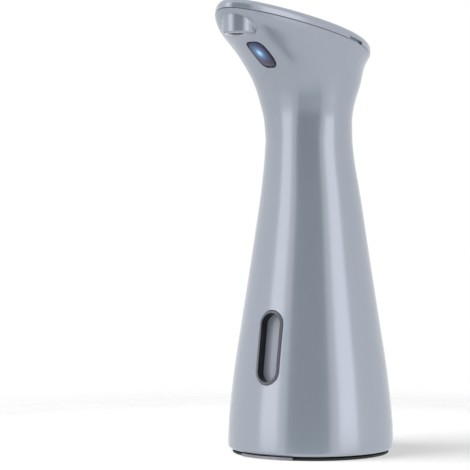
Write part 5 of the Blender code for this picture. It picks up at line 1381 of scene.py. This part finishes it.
@dataclass
class Studio:
    """The pale floor, the white surroundings, the lamps and the boards that gloss shows."""

    view: View
    floor_radius: float = 0.6
    floor_glow: float = 0.12
    floor_fade: tuple[float, float] = (0.10, 0.32)
    diffuse_level: float = 0.50
    lamps: tuple[Lamp, ...] = (
        Lamp("key_light", -76.0, 3.0, 0.9, 0.9, 48.0), Lamp("fill_light", 60.0, 1.6, 0.9, 0.9, 8.0),
    )
    boards: tuple[Board, ...] = (
        Board("dark_board", -33.0, 27.0, 1.0,
              ((0.0, (1.0, 1.0, 1.0)), (0.25, (0.86, 0.88, 0.89)), (0.5, (0.72, 0.76, 0.78)),
               (0.75, (0.50, 0.56, 0.59)), (0.88, (0.34, 0.41, 0.44)), (1.0, (0.23, 0.29, 0.32)))),
        Board("left_board", -73.0, -46.0, 2.1,
              ((0.0, (0.476, 0.476, 0.476)), (0.5, (0.50, 0.49, 0.49)), (0.75, (0.59, 0.57, 0.57)),
               (0.88, (0.73, 0.70, 0.70)), (1.0, (0.90, 0.86, 0.86)))),
        Board("right_board", 40.0, 68.0, 2.1,
              ((0.0, (0.476, 0.476, 0.476)), (0.5, (0.49, 0.48, 0.48)), (0.75, (0.56, 0.54, 0.54)),
               (0.88, (0.70, 0.67, 0.67)), (1.0, (0.92, 0.88, 0.88)))),
    )

    def build(self) -> None:
        """Build the lamps, the boards, the surroundings and the floor."""
        for item in (*self.lamps, *self.boards):
            item.build(self.view.azimuth)
        self.surroundings()
        self.floor()
        bpy.context.scene.view_settings.view_transform = "Standard"

    def surroundings(self) -> None:
        """White to the camera, in gloss and through glass; dimmer as a light."""
        world = bpy.data.worlds.new("white_studio")
        world.use_nodes = True
        nodes = Nodes(world.node_tree)
        path = nodes.add("LightPath").outputs
        seen = nodes.maths("ADD", nodes.maths("ADD", path["Is Camera Ray"], path["Is Glossy Ray"]),
                           path["Is Transmission Ray"], clamp=True)
        nodes.feed(world.node_tree.nodes["Background"], Color=(1.0, 1.0, 1.0),
                   Strength=nodes.maths("MAXIMUM", seen, self.diffuse_level))
        bpy.context.scene.world = world

    def floor(self) -> None:
        """A pale disc for the camera alone, which fades into the white surroundings with distance."""
        rings = turned_rings([(radius, 0.0) for radius in np.linspace(0.02, self.floor_radius, 12)[::-1]], 96)
        disc = shaped("studio_floor", rings[:, ::-1])
        material, nodes, shader = new_material("studio_floor")
        nodes.feed(shader, Base_Color=(0.88, 0.88, 0.88), Roughness=0.85, Specular_IOR_Level=0.0,
                   Emission_Color=(1.0, 1.0, 1.0), Emission_Strength=self.floor_glow)
        fade = nodes.share(nodes.length(nodes.here()), *self.floor_fade, "SMOOTHSTEP")
        clear = nodes.add("BsdfTransparent")
        mix = nodes.add("MixShader", fade, shader.outputs[0], clear.outputs[0])
        nodes.feed(material.node_tree.nodes["Material Output"], Surface=mix.outputs[0])
        dress(disc, material)
        disc.visible_glossy = False
        disc.visible_shadow = False


def main() -> None:
    """Build the camera and the studio, then the pieces in order, and report each."""
    logging.basicConfig(level=logging.INFO, format="%(name)s: %(message)s")
    view = View()
    view.build()
    Studio(view).build()
    made = {look.name: look.build() for look in (HOUSING_FINISH, PANE_FINISH, DARK_FINISH, RUBBER_FINISH)}
    window, sensor, spout, lid = LevelWindow(), Sensor(), Spout(), Lid()
    housing_look = made[HOUSING_FINISH.name]
    stand_for(Housing().build(window, sensor, spout), "housing", ["body_shell"], housing_look)
    # The rim's inner wall is painted near black: painted shade in the window's recess.
    rim = RimWithPaintedShadeWall("sunk_rim_with_painted_shade", window.place, colour=(0.135, 0.135, 0.17), wall=(0.008, 0.008, 0.011),
                    straight=(window.length - window.width) / 2,
                    inner=(window.width - window.play) / 2 - window.rim)
    stand_for(window.surround(), "housing", ["window_bezel"], rim.build())
    stand_for(window.glazing(), "housing", ["window_pane"], made[PANE_FINISH.name])
    glow = GlowingLens("glowing_lens", sensor.place, centre=(0.0, -0.0015), reach=(0.0045, 0.0085),
                       strength=1.0)
    stand_for(sensor.lens(), "housing", ["sensor_lens"], glow.build())
    stand_for(spout.tip(), "housing", ["nozzle_tip"], made[DARK_FINISH.name])
    stand_for(lid.build(), "lid", ["top_lid"], housing_look)
    stand_for(lid.button(), "button", ["power_button"], housing_look)
    stand_for(Foot().build(), "base", ["foot_pad"], made[RUBBER_FINISH.name])
    Mechanism().finish(made)


if __name__ == "__main__":
    main()
